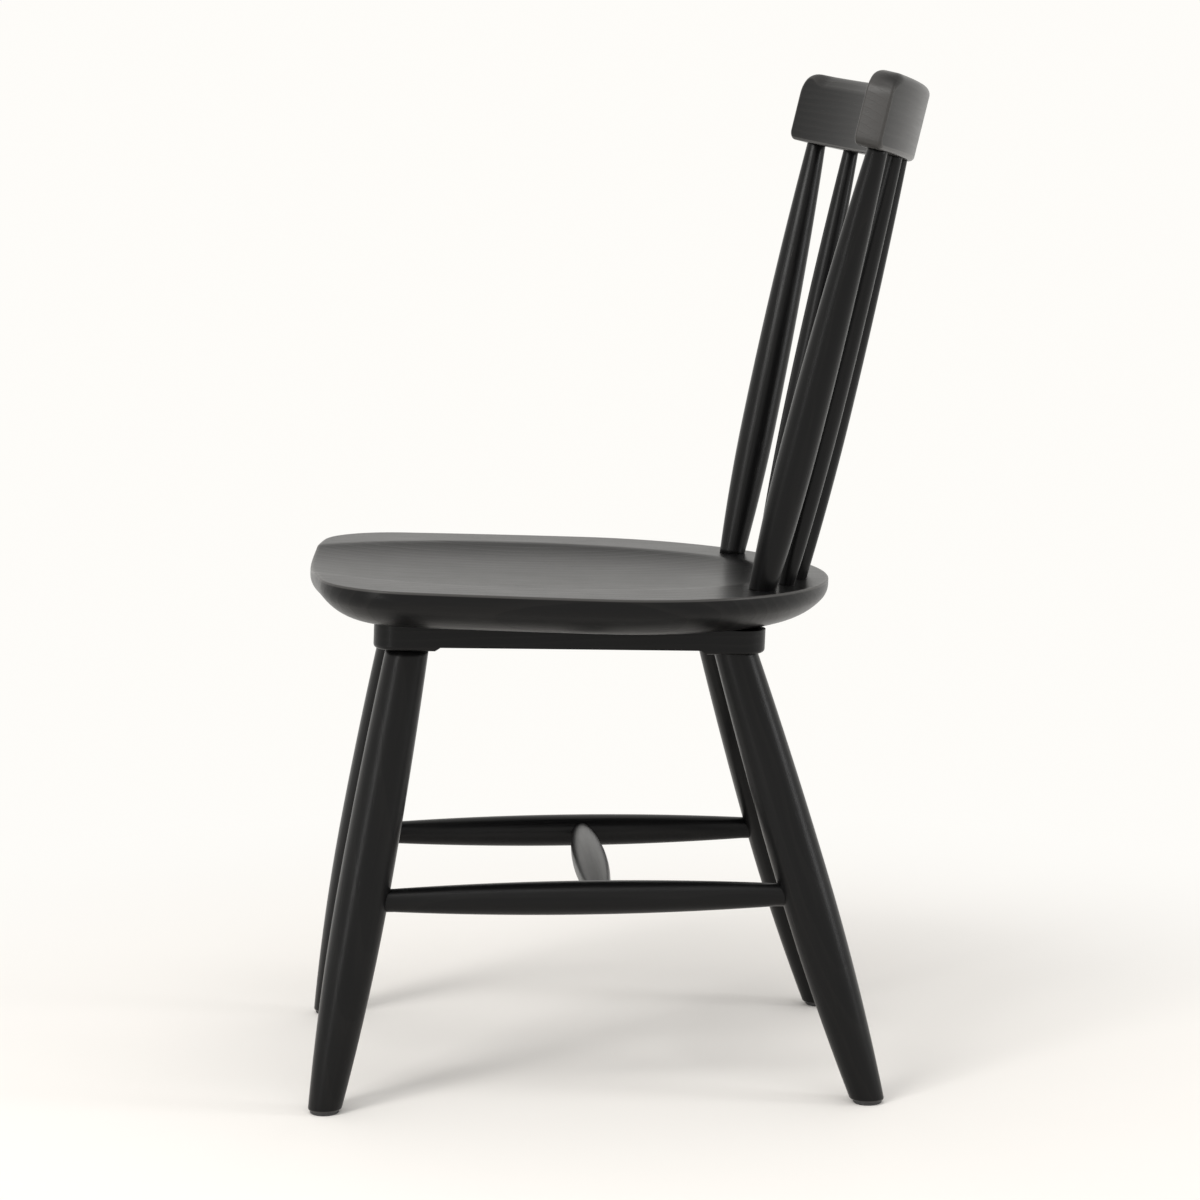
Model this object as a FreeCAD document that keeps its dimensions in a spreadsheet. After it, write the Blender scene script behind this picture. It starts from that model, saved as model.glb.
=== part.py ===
import FreeCAD, Part
import Sketcher
import math
import os

# A knock-down windsor side chair: a thick dished seat, two side frames of two splayed legs with a
# seat rail and a side stretcher, a cross stretcher, and seven turned uprights under a bent crest.
# Millimetres. +Z is up, the chair faces -Y, and +X is the sitter's left. The origin is on the
# floor, at the middle of the whole chair's width and depth.

DIMENSIONS = [
    ("OriginBack", 14.2, "how far the chair's middle lies behind the middle of the side stretchers"),
    ("SeatMidHeight", 449.5, "height of the seat's top at the centre of its rear curve"),
    ("SeatMidBack", -3.5, "centre of the seat's rear curve, front to back"),
    ("SeatTilt", 2.2, "seat slope down to the rear, degrees"),
    ("SeatThickness", 35.5, "thickness of the seat plank"),
    ("SeatRearRadius", 210.0, "radius of the seat's rear curve, which is half its width"),
    ("SeatSideRadius", 1900.0, "radius of the seat's long side curves"),
    ("SeatCornerRadius", 82.0, "radius of the seat's front corners"),
    ("SeatFrontRadius", 900.0, "radius of the seat's front edge"),
    ("SeatFrontReach", 251.0, "from the centre of the rear curve to the front edge"),
    ("SeatArris", 1.6, "easing of the seat's top edge"),
    ("BevelWidth", 44, "how far the under-bevel reaches in from the edge"),
    ("BevelDepth", 29.5, "how far the under-bevel rises from the underside"),
    ("BevelSideRadius", 17, "radius of the under-bevel near the seat's edge"),
    ("DishHalfWidth", 148.0, "half width of the dish in the seat's top"),
    ("DishHalfLength", 220.0, "half length of the dish"),
    ("DishForward", 62.0, "how far the dish's centre lies in front of the rear curve's centre"),
    ("DishDepth", 11, "depth of the dish at its centre"),
    ("DishBall", 60.0, "half height of the ellipsoid that cuts the dish"),
    ("RailSpacing", 109.0, "half distance between the two seat rails"),
    ("RailWidth", 46.0, "width of a seat rail"),
    ("RailEndRadius", 22.8, "radius of a seat rail's round ends"),
    ("RailDepth", 19.3, "depth of a seat rail at the centre of the seat's rear curve"),
    ("RailTaper", 0.0163, "how much shallower a seat rail gets for each millimetre to the rear"),
    ("BossDrop", 3.5, "how far the bosses stand below the rail between them"),
    ("BossLength", 52, "length of each boss"),
    ("BossSlope", 5.0, "length of the slope from a boss up to the rail"),
    ("BossEasing", 3.5, "rounding under each boss"),
    ("RailFront", 194.0, "from the centre of the seat's rear curve forward to the rail's end"),
    ("RailRear", 144, "from the centre of the seat's rear curve back to the rail's end"),
    ("FootSpacing", 164.5, "half distance between the feet, side to side"),
    ("FrontFoot", 246.0, "front feet, ahead of the middle of the side stretchers"),
    ("RearFoot", 225.4, "rear feet, behind the middle of the side stretchers"),
    ("LegTopSpacing", 109.0, "half distance between the leg tops"),
    ("FrontLegTop", 171.5, "front leg tops, ahead of the middle"),
    ("RearLegTop", 113.0, "rear leg tops, behind the middle"),
    ("LegTopHeight", 388.5, "height at which the leg tops are set out"),
    ("LegFootRadius", 14.0, "leg radius at the floor"),
    ("LegBellyRadius", 22.5, "largest leg radius"),
    ("LegTopRadius", 18.7, "leg radius at the seat rail"),
    ("LegBellyHeight", 196.0, "height of the largest radius, along the leg"),
    ("LegSpare", 12.0, "length left on each end of a leg before it is cut to its angle"),
    ("LegTenonRadius", 11.0, "radius of the tenon on a leg's top"),
    ("LegTenonLength", 18, "length of the tenon on a leg's top"),
    ("FootEasing", 1.8, "rounding of the foot's lower edge"),
    ("StretcherHeight", 179.4, "height of the stretchers' axes"),
    ("StretcherEndRadius", 10.0, "radius of a side stretcher's ends, in their sockets"),
    ("StretcherBellyRadius", 14.7, "largest radius of a side stretcher"),
    ("StretcherInset", 4.0, "a side stretcher ends this far short of the leg's axis"),
    ("StretcherNeck", 23.0, "straight end of a side stretcher"),
    ("CrossForward", 6.0, "cross stretcher, ahead of the middle of the side stretchers"),
    ("CrossEndRadius", 9.0, "radius of the cross stretcher's ends, in their sockets"),
    ("CrossBellyRadius", 15.6, "largest radius of the cross stretcher"),
    ("CrossInset", 3.0, "the cross stretcher ends this far short of the side stretcher's axis"),
    ("CrossNeck", 13.5, "straight end of the cross stretcher"),
    ("CrestBack", 262.3, "crest rail's middle at its lower edge, behind the middle"),
    ("CrestHeight", 809.5, "height of the crest rail's lower edge at its middle"),
    ("CrestLean", 13.5, "lean of the crest rail, degrees"),
    ("CrestRadius", 450, "bend radius of the crest rail's centre line"),
    ("CrestHalfWidth", 228.0, "half width of the crest rail"),
    ("CrestDepth", 64.5, "depth of the crest rail"),
    ("CrestThickness", 24, "thickness of the crest rail"),
    ("CrestRollDepth", 10.5, "how far the rolled top edge comes down the front"),
    ("CrestRollBack", 5.5, "how far the rolled top edge leans back"),
    ("CrestTopCorner", 16, "radius of the crest rail's upper corners"),
    ("CrestLowCorner", 7.0, "radius of the crest rail's lower corners"),
    ("CrestArris", 2.2, "easing of the crest rail's edges"),
    ("UprightCircle", 184.5, "the uprights stand on this radius in the seat"),
    ("UprightSeatStep", 13.9, "angle between uprights in the seat, degrees"),
    ("UprightCrestStep", 8.55, "angle between uprights in the crest rail, degrees"),
    ("UprightSpare", 8.0, "length left on each end of an upright before it is cut to its angle"),
    ("PostSeatRadius", 11.5, "back post radius at the seat"),
    ("PostBellyRadius", 15.9, "largest back post radius"),
    ("PostCrestRadius", 8.6, "back post radius at the crest rail"),
    ("PostBellyShare", 0.32, "height of a back post's largest radius, as a share of its length"),
    ("PostTenonRadius", 10.0, "radius of a back post's tenon in the seat"),
    ("PostTopTenonRadius", 6.5, "radius of a back post's tenon in the crest rail"),
    ("SpindleSeatRadius", 6.8, "spindle radius at the seat"),
    ("SpindleBellyRadius", 11.2, "largest spindle radius"),
    ("SpindleCrestRadius", 6.9, "spindle radius at the crest rail"),
    ("SpindleBellyShare", 0.41, "height of a spindle's largest radius, as a share of its length"),
    ("SpindleTenonRadius", 6.0, "radius of a spindle's tenon in the seat"),
    ("SpindleTopTenonRadius", 5.0, "radius of a spindle's tenon in the crest rail"),
    ("SeatTenonLength", 22.0, "length of the uprights' tenons in the seat"),
    ("CrestTenonLength", 22.0, "length of the uprights' tenons in the crest rail"),
    ("TenonRoot", 12.0, "how far a tenon's rod runs back into its own piece"),
    ("BoreRunOut", 8.0, "how far outside the wood each blind hole starts"),
    ("GlideRadius", 12.5, "radius of a foot glide"),
    ("GlideThickness", 3.0, "thickness of a foot glide"),
    ("GlideEasing", 0.7, "rounding of a glide's lower edge"),
    ("NailHeadRadius", 3.4, "radius of a glide nail's head"),
    ("NailHeadDepth", 1.2, "depth of a glide nail's head"),
    ("NailSink", 0.6, "a glide nail's head lies this far above the floor"),
    ("NailRadius", 1.3, "radius of a glide nail's shank"),
    ("NailLength", 20.0, "length of a glide nail"),
    ("ScrewHeadRadius", 4.6, "radius of a rail screw's countersunk head"),
    ("ScrewHeadDepth", 2.8, "depth of a rail screw's countersunk head"),
    ("ScrewRadius", 2.4, "radius of a rail screw's shank"),
    ("ScrewLength", 34.0, "length of a rail screw"),
    ("ScrewTip", 5.0, "length of a rail screw's tapered tip"),
    ("ScrewClearance", 0.3, "clearance round a rail screw's shank in the rail"),
    ("ScrewSlotWidth", 1.2, "width of the cross slot in a rail screw's head"),
    ("ScrewSlotDepth", 1.4, "depth of the cross slot in a rail screw's head"),
    ("ScrewPoint", 0.4, "radius of a rail screw's point"),
    ("ScrewSink", 0.5, "how far a rail screw's head lies inside the rail"),
    ("ScrewFront", 110.0, "front rail screw, ahead of the centre of the seat's rear curve"),
    ("ScrewStep", 86.0, "distance between rail screws"),
]

doc = FreeCAD.newDocument("windsor_chair")
sheet = doc.addObject("Spreadsheet::Sheet", "Dims")
for row, (alias, value, note) in enumerate(DIMENSIONS, start=1):
    sheet.set("A%d" % row, note)
    sheet.set("B%d" % row, str(value))
    sheet.setAlias("B%d" % row, alias)
doc.recompute()

Vector = FreeCAD.Vector
Placement = FreeCAD.Placement
Rotation = FreeCAD.Rotation
NO_TURN = Rotation()
X_AXIS = Vector(1, 0, 0)
Z_AXIS = Vector(0, 0, 1)
TRIM_SIZE = 160.0
WASTE_SPARE = 6.0
SWEEP_ANGLE = 120.0
NEAR = 0.01
BOSS_FLATNESS = 0.3
BOTH_SIDES = ((1, "left"), (-1, "right"))


class Size:
    """A length with the expression over the sheet's cells that it comes from."""

    def __init__(self, value, text):
        self.value = float(value)
        self.text = text

    def joined(self, other, sign, value):
        other_text = other.text if isinstance(other, Size) else repr(float(other))
        return Size(value, "(%s %s %s)" % (self.text, sign, other_text))

    def __add__(self, other):
        return self.joined(other, "+", self.value + number(other))

    def __sub__(self, other):
        return self.joined(other, "-", self.value - number(other))

    def __mul__(self, other):
        return self.joined(other, "*", self.value * number(other))

    def __neg__(self):
        return Size(-self.value, "(0 - %s)" % self.text)


def number(size):
    return size.value if isinstance(size, Size) else float(size)


def dim(alias):
    """A sheet value that a feature can be bound to."""
    return Size(sheet.get(alias), "Dims." + alias)


def amount(alias):
    """A sheet value as a plain number."""
    return float(sheet.get(alias))


def fixed(value):
    return Size(value, repr(float(value)))


def bind(feature, name, size):
    """Sets a property and binds it to the sheet."""
    setattr(feature, name, size.value)
    feature.setExpression(name, size.text)


def new_body(name, place):
    body = doc.addObject("PartDesign::Body", name)
    body.Label = name
    body.Placement = place
    return body


def plane_of(body, role):
    return [item for item in body.Origin.OriginFeatures if item.Role == role][0]


def new_sketch(body, role, name, lift=None):
    """An empty sketch on one of the body's own planes, lifted along its normal."""
    sketch = body.newObject("Sketcher::SketchObject", name)
    sketch.AttachmentSupport = [(plane_of(body, role), "")]
    sketch.MapMode = "FlatFace"
    if lift is not None:
        sketch.AttachmentOffset = Placement(Vector(0, 0, lift.value), NO_TURN)
        sketch.setExpression("AttachmentOffset.Base.z", lift.text)
    return sketch


def hold(sketch, kind, name, edge, point, size):
    """Holds a point of an edge at a signed distance from the sketch's origin."""
    if abs(size.value) < 1e-9:
        axis = -2 if kind == "DistanceX" else -1
        sketch.addConstraint(Sketcher.Constraint("PointOnObject", edge, point, axis))
        return
    if size.value > 0:
        rule = Sketcher.Constraint(kind, -1, 1, edge, point, size.value)
        text = size.text
    else:
        rule = Sketcher.Constraint(kind, edge, point, -1, 1, -size.value)
        text = (-size).text
    index = sketch.addConstraint(rule)
    sketch.renameConstraint(index, name)
    sketch.setExpression("Constraints." + name, text)


def hold_radius(sketch, name, edge, size):
    index = sketch.addConstraint(Sketcher.Constraint("Radius", edge, size.value))
    sketch.renameConstraint(index, name)
    sketch.setExpression("Constraints." + name, size.text)


def swell_arc(start, end, level):
    """Arc between two points of a profile whose centre is level with the start or the end."""
    belly, tip = (start, end) if level == "start" else (end, start)
    across = belly[0] - tip[0]
    along = belly[1] - tip[1]
    radius = (across * across + along * along) / (2.0 * across)
    centre = Vector(belly[0] - radius, belly[1], 0)
    first = math.atan2(start[1] - centre.y, start[0] - centre.x)
    last = math.atan2(end[1] - centre.y, end[0] - centre.x)
    return Part.ArcOfCircle(Part.Circle(centre, Z_AXIS, radius), first, last)


def draw_outline(sketch, corners):
    """Closed outline; each corner is (x, y, way on), where the way on is line, rise or fall."""
    count = len(corners)
    for index, (x, y, way) in enumerate(corners):
        start = (x.value, y.value)
        following = corners[(index + 1) % count]
        end = (following[0].value, following[1].value)
        if way == "line":
            sketch.addGeometry(Part.LineSegment(Vector(*start, 0), Vector(*end, 0)), False)
        else:
            level = "end" if way == "rise" else "start"
            sketch.addGeometry(swell_arc(start, end, level), False)
    for index, (x, y, way) in enumerate(corners):
        following = (index + 1) % count
        sketch.addConstraint(Sketcher.Constraint("Coincident", index, 2, following, 1))
        hold(sketch, "DistanceX", "across%d" % index, index, 1, x)
        hold(sketch, "DistanceY", "along%d" % index, index, 1, y)
        if way == "rise":
            hold(sketch, "DistanceY", "level%d" % index, index, 3, corners[following][1])
        elif way == "fall":
            hold(sketch, "DistanceY", "level%d" % index, index, 3, y)


def turn(body, name, stations):
    """A piece turned about the body's Z axis; each station is (height, radius, way on)."""
    sketch = new_sketch(body, "XZ_Plane", name + "_profile")
    axis = fixed(0)
    corners = [(axis, stations[0][0], "line")]
    corners += [(radius, height, way) for height, radius, way in stations]
    corners.append((axis, stations[-1][0], "line"))
    draw_outline(sketch, corners)
    feature = body.newObject("PartDesign::Revolution", name)
    feature.Profile = sketch
    feature.ReferenceAxis = (sketch, ["V_Axis"])
    feature.Angle = 360.0
    body.Tip = feature
    return feature


def inside(body, place):
    """A placement in the chair's frame, as the body's own features need it."""
    return body.Placement.inverse().multiply(place)


def add_rod(body, name, place, radius, length):
    feature = body.newObject("PartDesign::AdditiveCylinder", name)
    bind(feature, "Radius", radius)
    bind(feature, "Height", length)
    feature.Placement = inside(body, place)
    body.Tip = feature


def bore(body, name, place, radius, length):
    """A round hole along the placement's Z axis."""
    feature = body.newObject("PartDesign::SubtractiveCylinder", name)
    bind(feature, "Radius", radius)
    bind(feature, "Height", length)
    feature.Placement = inside(body, place)
    body.Tip = feature


def blind_bore(body, name, mouth, radius, depth):
    """A round hole of a given depth below the surface that the placement's origin lies on."""
    start = shifted(mouth, -amount("BoreRunOut"))
    bore(body, name, start, radius, depth + dim("BoreRunOut"))


def add_tenon(body, name, shoulder, radius, length):
    """A round tenon of a given length beyond the shoulder that the placement's origin lies on."""
    start = shifted(shoulder, -amount("TenonRoot"))
    add_rod(body, name, start, radius, length + dim("TenonRoot"))


def countersink(body, name, place, wide, narrow, depth):
    """A conical hole that narrows along the placement's Z axis."""
    feature = body.newObject("PartDesign::SubtractiveCone", name)
    bind(feature, "Radius1", wide)
    bind(feature, "Radius2", narrow)
    bind(feature, "Height", depth)
    feature.Placement = inside(body, place)
    body.Tip = feature


def trim(body, name, place, above):
    """Cuts away what lies above, or below, the placement's XY plane."""
    feature = body.newObject("PartDesign::SubtractiveBox", name)
    feature.Length = TRIM_SIZE
    feature.Width = TRIM_SIZE
    feature.Height = TRIM_SIZE
    corner = Vector(-TRIM_SIZE / 2, -TRIM_SIZE / 2, 0 if above else -TRIM_SIZE)
    feature.Placement = inside(body, place.multiply(Placement(corner, NO_TURN)))
    body.Tip = feature


def ease(body, name, radius, wanted):
    """Rounds those edges of the body so far that the test picks out."""
    doc.recompute()
    before = body.Tip
    edges = before.Shape.Edges
    names = ["Edge%d" % (index + 1) for index, edge in enumerate(edges) if wanted(edge)]
    feature = body.newObject("PartDesign::Fillet", name)
    feature.Base = (before, names)
    bind(feature, "Radius", radius)
    body.Tip = feature


def line_frame(start, end, x_hint=X_AXIS):
    """A placement at the start whose Z axis points at the end."""
    along = (end - start).normalize()
    side = along.cross(x_hint).normalize()
    return Placement(start, Rotation(side.cross(along), side, along, "ZXY"))


def shifted(place, along):
    """The placement moved along its own Z axis."""
    return place.multiply(Placement(Vector(0, 0, along), NO_TURN))


def chair_point(x, y, z):
    """A point given from the middle of the side stretchers, in the chair's frame."""
    return Vector(x, y - amount("OriginBack"), z)


SEAT = Placement(chair_point(0, amount("SeatMidBack"), amount("SeatMidHeight")),
                 Rotation(X_AXIS, -amount("SeatTilt")))
SEAT_UNDERSIDE = shifted(SEAT, -amount("SeatThickness"))
CREST = Placement(chair_point(0, amount("CrestBack"), amount("CrestHeight")),
                  Rotation(X_AXIS, -amount("CrestLean")))


class Leg:
    """Where one leg stands: its axis runs from a point on the floor to its top."""

    def __init__(self, end, side):
        sign = 1 if side == "left" else -1
        back = -1 if end == "front" else 1
        foot = amount("FrontFoot") if end == "front" else amount("RearFoot")
        top = amount("FrontLegTop") if end == "front" else amount("RearLegTop")
        self.name = "%s_%s" % (end, side)
        self.sign = sign
        self.foot = chair_point(sign * amount("FootSpacing"), back * foot, 0)
        self.top = chair_point(sign * amount("LegTopSpacing"), back * top, amount("LegTopHeight"))
        self.frame = line_frame(self.foot, self.top)

    def at_height(self, height):
        return self.foot + (self.top - self.foot) * (height / amount("LegTopHeight"))

    def glide_centre(self):
        """On the floor, under the middle of the foot."""
        middle = self.at_height(amount("GlideThickness"))
        return Vector(middle.x, middle.y, 0)

    def rail_frame(self):
        """The underside of the boss that this leg's top meets."""
        drop = Vector(0, 0, -amount("RailDepth") - amount("BossDrop"))
        taper = Rotation(X_AXIS, math.degrees(math.atan(amount("RailTaper"))))
        centre = SEAT_UNDERSIDE.multiply(Placement(drop, taper))
        normal = centre.Rotation.multVec(Z_AXIS)
        direction = self.top - self.foot
        share = (centre.Base - self.foot).dot(normal) / direction.dot(normal)
        return Placement(self.foot + direction * share, centre.Rotation)

    def tenon_frame(self):
        return Placement(self.rail_frame().Base, self.frame.Rotation)


LEGS = {(end, side): Leg(end, side) for end in ("front", "rear") for side in ("left", "right")}


class Upright:
    """Where one upright stands: its axis runs from the seat to the crest rail."""

    def __init__(self, name, place, kind):
        seat_angle = math.radians(place * amount("UprightSeatStep"))
        crest_angle = math.radians(place * amount("UprightCrestStep"))
        circle = amount("UprightCircle")
        bend = amount("CrestRadius")
        self.name = name
        self.kind = kind
        self.base = SEAT.multVec(
            Vector(circle * math.sin(seat_angle), circle * math.cos(seat_angle), 0)
        )
        self.tip = CREST.multVec(
            Vector(bend * math.sin(crest_angle), bend * (math.cos(crest_angle) - 1), 0)
        )
        self.length = (self.tip - self.base).Length
        self.frame = line_frame(self.base, self.tip)
        self.crest_frame = Placement(self.tip, self.frame.Rotation)
        self.seat_frame = line_frame(self.base, self.base * 2 - self.tip)


UPRIGHTS = [
    Upright("left_back_post", 3, "Post"),
    Upright("outer_left_spindle", 2, "Spindle"),
    Upright("inner_left_spindle", 1, "Spindle"),
    Upright("centre_spindle", 0, "Spindle"),
    Upright("inner_right_spindle", -1, "Spindle"),
    Upright("outer_right_spindle", -2, "Spindle"),
    Upright("right_back_post", -3, "Post"),
]


def screw_frames(sign):
    """The heads of one rail's screws, each pointing up into the seat."""
    frames = []
    for step in range(3):
        along = -amount("ScrewFront") + step * amount("ScrewStep")
        height = amount("RailTaper") * along - amount("RailDepth") + amount("ScrewSink")
        place = Vector(sign * amount("RailSpacing"), along, height)
        frames.append(SEAT_UNDERSIDE.multiply(Placement(place, NO_TURN)))
    return frames


def stretcher_ends(sign):
    side = "left" if sign > 0 else "right"
    height = amount("StretcherHeight")
    front = LEGS[("front", side)].at_height(height)
    rear = LEGS[("rear", side)].at_height(height)
    return front, rear


def cross_ends():
    """Where the cross stretcher's axis meets the axes of the two side stretchers."""
    spacing = stretcher_ends(1)[0].x
    left_end = chair_point(spacing, -amount("CrossForward"), amount("StretcherHeight"))
    return chair_point(-spacing, -amount("CrossForward"), amount("StretcherHeight")), left_end


def seat_arcs(reach, rear, side, corner, front):
    """The six arcs of the seat's outline, anticlockwise from the right end of the rear curve."""
    side_centre = Vector(rear - side, 0, 0)
    front_centre = Vector(0, front - reach, 0)
    to_side = side - corner
    to_front = front - corner
    gap = front_centre - side_centre
    along = (to_side ** 2 - to_front ** 2 + gap.Length ** 2) / (2 * gap.Length)
    across = math.sqrt(to_side ** 2 - along ** 2)
    unit = gap / gap.Length
    corner_centre = side_centre + unit * along + Vector(unit.y, -unit.x, 0) * across
    side_end = (corner_centre - side_centre).normalize()
    front_end = (corner_centre - front_centre).normalize()
    side_angle = math.atan2(side_end.y, side_end.x)
    front_angle = math.atan2(front_end.y, front_end.x)

    def arc(centre, radius, first, last):
        return Part.ArcOfCircle(Part.Circle(centre, Z_AXIS, radius), first, last)

    left_side = Vector(-side_centre.x, 0, 0)
    left_corner = Vector(-corner_centre.x, corner_centre.y, 0)
    return [
        arc(Vector(0, 0, 0), rear, 0, math.pi),
        arc(left_side, side, math.pi, math.pi - side_angle),
        arc(left_corner, corner, math.pi - side_angle, math.pi - front_angle),
        arc(front_centre, front, -math.pi - front_angle, front_angle),
        arc(corner_centre, corner, front_angle, side_angle),
        arc(side_centre, side, side_angle, 0),
    ]


def seat_outline(body, name, lift):
    """Rear curve, two sides, two corners and the front edge, each tangent to the next."""
    sketch = new_sketch(body, "XY_Plane", name, lift)
    sizes = [amount(alias) for alias in ("SeatFrontReach", "SeatRearRadius", "SeatSideRadius",
                                     "SeatCornerRadius", "SeatFrontRadius")]
    rear, left_side, left_corner, front, corner, side = range(6)
    for arc in seat_arcs(*sizes):
        sketch.addGeometry(arc, False)
    for index in range(6):
        sketch.addConstraint(Sketcher.Constraint("Tangent", index, 2, (index + 1) % 6, 1))
    sketch.addConstraint(Sketcher.Constraint("Coincident", rear, 3, -1, 1))
    sketch.addConstraint(Sketcher.Constraint("PointOnObject", side, 3, -1))
    sketch.addConstraint(Sketcher.Constraint("PointOnObject", left_side, 3, -1))
    sketch.addConstraint(Sketcher.Constraint("PointOnObject", front, 3, -2))
    sketch.addConstraint(Sketcher.Constraint("Equal", side, left_side))
    sketch.addConstraint(Sketcher.Constraint("Equal", corner, left_corner))
    hold_radius(sketch, "rear_radius", rear, dim("SeatRearRadius"))
    hold_radius(sketch, "side_radius", side, dim("SeatSideRadius"))
    hold_radius(sketch, "corner_radius", corner, dim("SeatCornerRadius"))
    hold_radius(sketch, "front_radius", front, dim("SeatFrontRadius"))
    hold(sketch, "DistanceY", "front_centre", front, 3, dim("SeatFrontRadius") - dim("SeatFrontReach"))
    return sketch


def bevel_profile(body):
    """The wood that the under-bevel takes off, in section at the middle of the front edge."""
    sketch = new_sketch(body, "YZ_Plane", "seat_bevel_section")
    edge = -amount("SeatFrontReach")
    under = -amount("SeatThickness")
    width = amount("BevelWidth")
    depth = amount("BevelDepth")
    small = amount("BevelSideRadius")
    large = (width ** 2 + depth ** 2 - 2 * width * small) / (2 * (depth - small))
    small_centre = Vector(edge + small, under + depth, 0)
    large_centre = Vector(edge + width, under + large, 0)
    joint_angle = math.atan2(small_centre.y - large_centre.y, small_centre.x - large_centre.x)
    start = Vector(edge, under + depth, 0)
    end = Vector(edge + width, under, 0)
    outside = WASTE_SPARE
    below = WASTE_SPARE
    sketch.addGeometry(Part.ArcOfCircle(Part.Circle(small_centre, Z_AXIS, small),
                                        -math.pi, joint_angle), False)
    sketch.addGeometry(Part.ArcOfCircle(Part.Circle(large_centre, Z_AXIS, large),
                                        joint_angle, -math.pi / 2), False)
    corners = [end, end + Vector(0, -below, 0), Vector(edge - outside, under - below, 0),
               Vector(edge - outside, under + depth, 0), start]
    for first, second in zip(corners, corners[1:]):
        sketch.addGeometry(Part.LineSegment(first, second), False)
    small_arc, large_arc, inner, floor, outer, top = range(6)
    sketch.addConstraint(Sketcher.Constraint("Tangent", small_arc, 2, large_arc, 1))
    for first, second in ((large_arc, inner), (inner, floor), (floor, outer), (outer, top),
                          (top, small_arc)):
        sketch.addConstraint(Sketcher.Constraint("Coincident", first, 2, second, 1))
    for upright_line in (inner, outer):
        sketch.addConstraint(Sketcher.Constraint("Vertical", upright_line))
    for level_line in (floor, top):
        sketch.addConstraint(Sketcher.Constraint("Horizontal", level_line))
    reach = dim("SeatFrontReach")
    thickness = dim("SeatThickness")
    hold(sketch, "DistanceX", "edge", top, 2, -reach)
    hold(sketch, "DistanceY", "bevel_top", top, 2, dim("BevelDepth") - thickness)
    hold(sketch, "DistanceY", "small_level", small_arc, 3, dim("BevelDepth") - thickness)
    hold_radius(sketch, "small_radius", small_arc, dim("BevelSideRadius"))
    hold(sketch, "DistanceX", "bevel_end", inner, 1, dim("BevelWidth") - reach)
    hold(sketch, "DistanceY", "bevel_floor", inner, 1, -thickness)
    hold(sketch, "DistanceX", "large_level", large_arc, 3, dim("BevelWidth") - reach)
    hold(sketch, "DistanceX", "outside", outer, 1, -(reach + outside))
    hold(sketch, "DistanceY", "below", floor, 1, -(thickness + below))
    return sketch


def make_seat():
    body = new_body("seat", SEAT)
    outline = seat_outline(body, "seat_outline", -dim("SeatThickness"))
    plank = body.newObject("PartDesign::Pad", "seat_plank")
    plank.Profile = outline
    bind(plank, "Length", dim("SeatThickness"))
    body.Tip = plank
    ease(body, "seat_arris", dim("SeatArris"), lambda edge: edge.BoundBox.ZMin > -NEAR)
    path = seat_outline(body, "seat_bevel_path", -dim("SeatThickness"))
    section = bevel_profile(body)
    bevel = body.newObject("PartDesign::SubtractivePipe", "seat_bevel")
    bevel.Profile = section
    bevel.Spine = (path, [])
    body.Tip = bevel
    cut_dish(body)
    for upright in UPRIGHTS:
        radius = dim(upright.kind + "TenonRadius")
        blind_bore(body, upright.name + "_socket", upright.seat_frame, radius, dim("SeatTenonLength"))
    for sign, side in BOTH_SIDES:
        for index, frame in enumerate(screw_frames(sign)):
            bore(body, "%s_pilot_%d" % (side, index), frame, dim("ScrewRadius"),
                 dim("ScrewLength") - dim("ScrewTip"))
            countersink(body, "%s_pilot_tip_%d" % (side, index),
                        shifted(frame, amount("ScrewLength") - amount("ScrewTip")),
                        dim("ScrewRadius"), dim("ScrewPoint"), dim("ScrewTip"))


def cut_dish(body):
    """A shallow saddle that runs out at the front edge, left by one large ellipsoid."""
    ball = amount("DishBall")
    lift = ball - amount("DishDepth")
    share = math.sqrt(1 - (lift / ball) ** 2)
    dish = body.newObject("PartDesign::SubtractiveEllipsoid", "seat_dish")
    bind(dish, "Radius1", dim("DishBall"))
    bind(dish, "Radius2", dim("DishHalfWidth") * (1 / share))
    bind(dish, "Radius3", dim("DishHalfLength") * (1 / share))
    dish.Placement = Placement(Vector(0, -amount("DishForward"), lift), NO_TURN)
    body.Tip = dish


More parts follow.
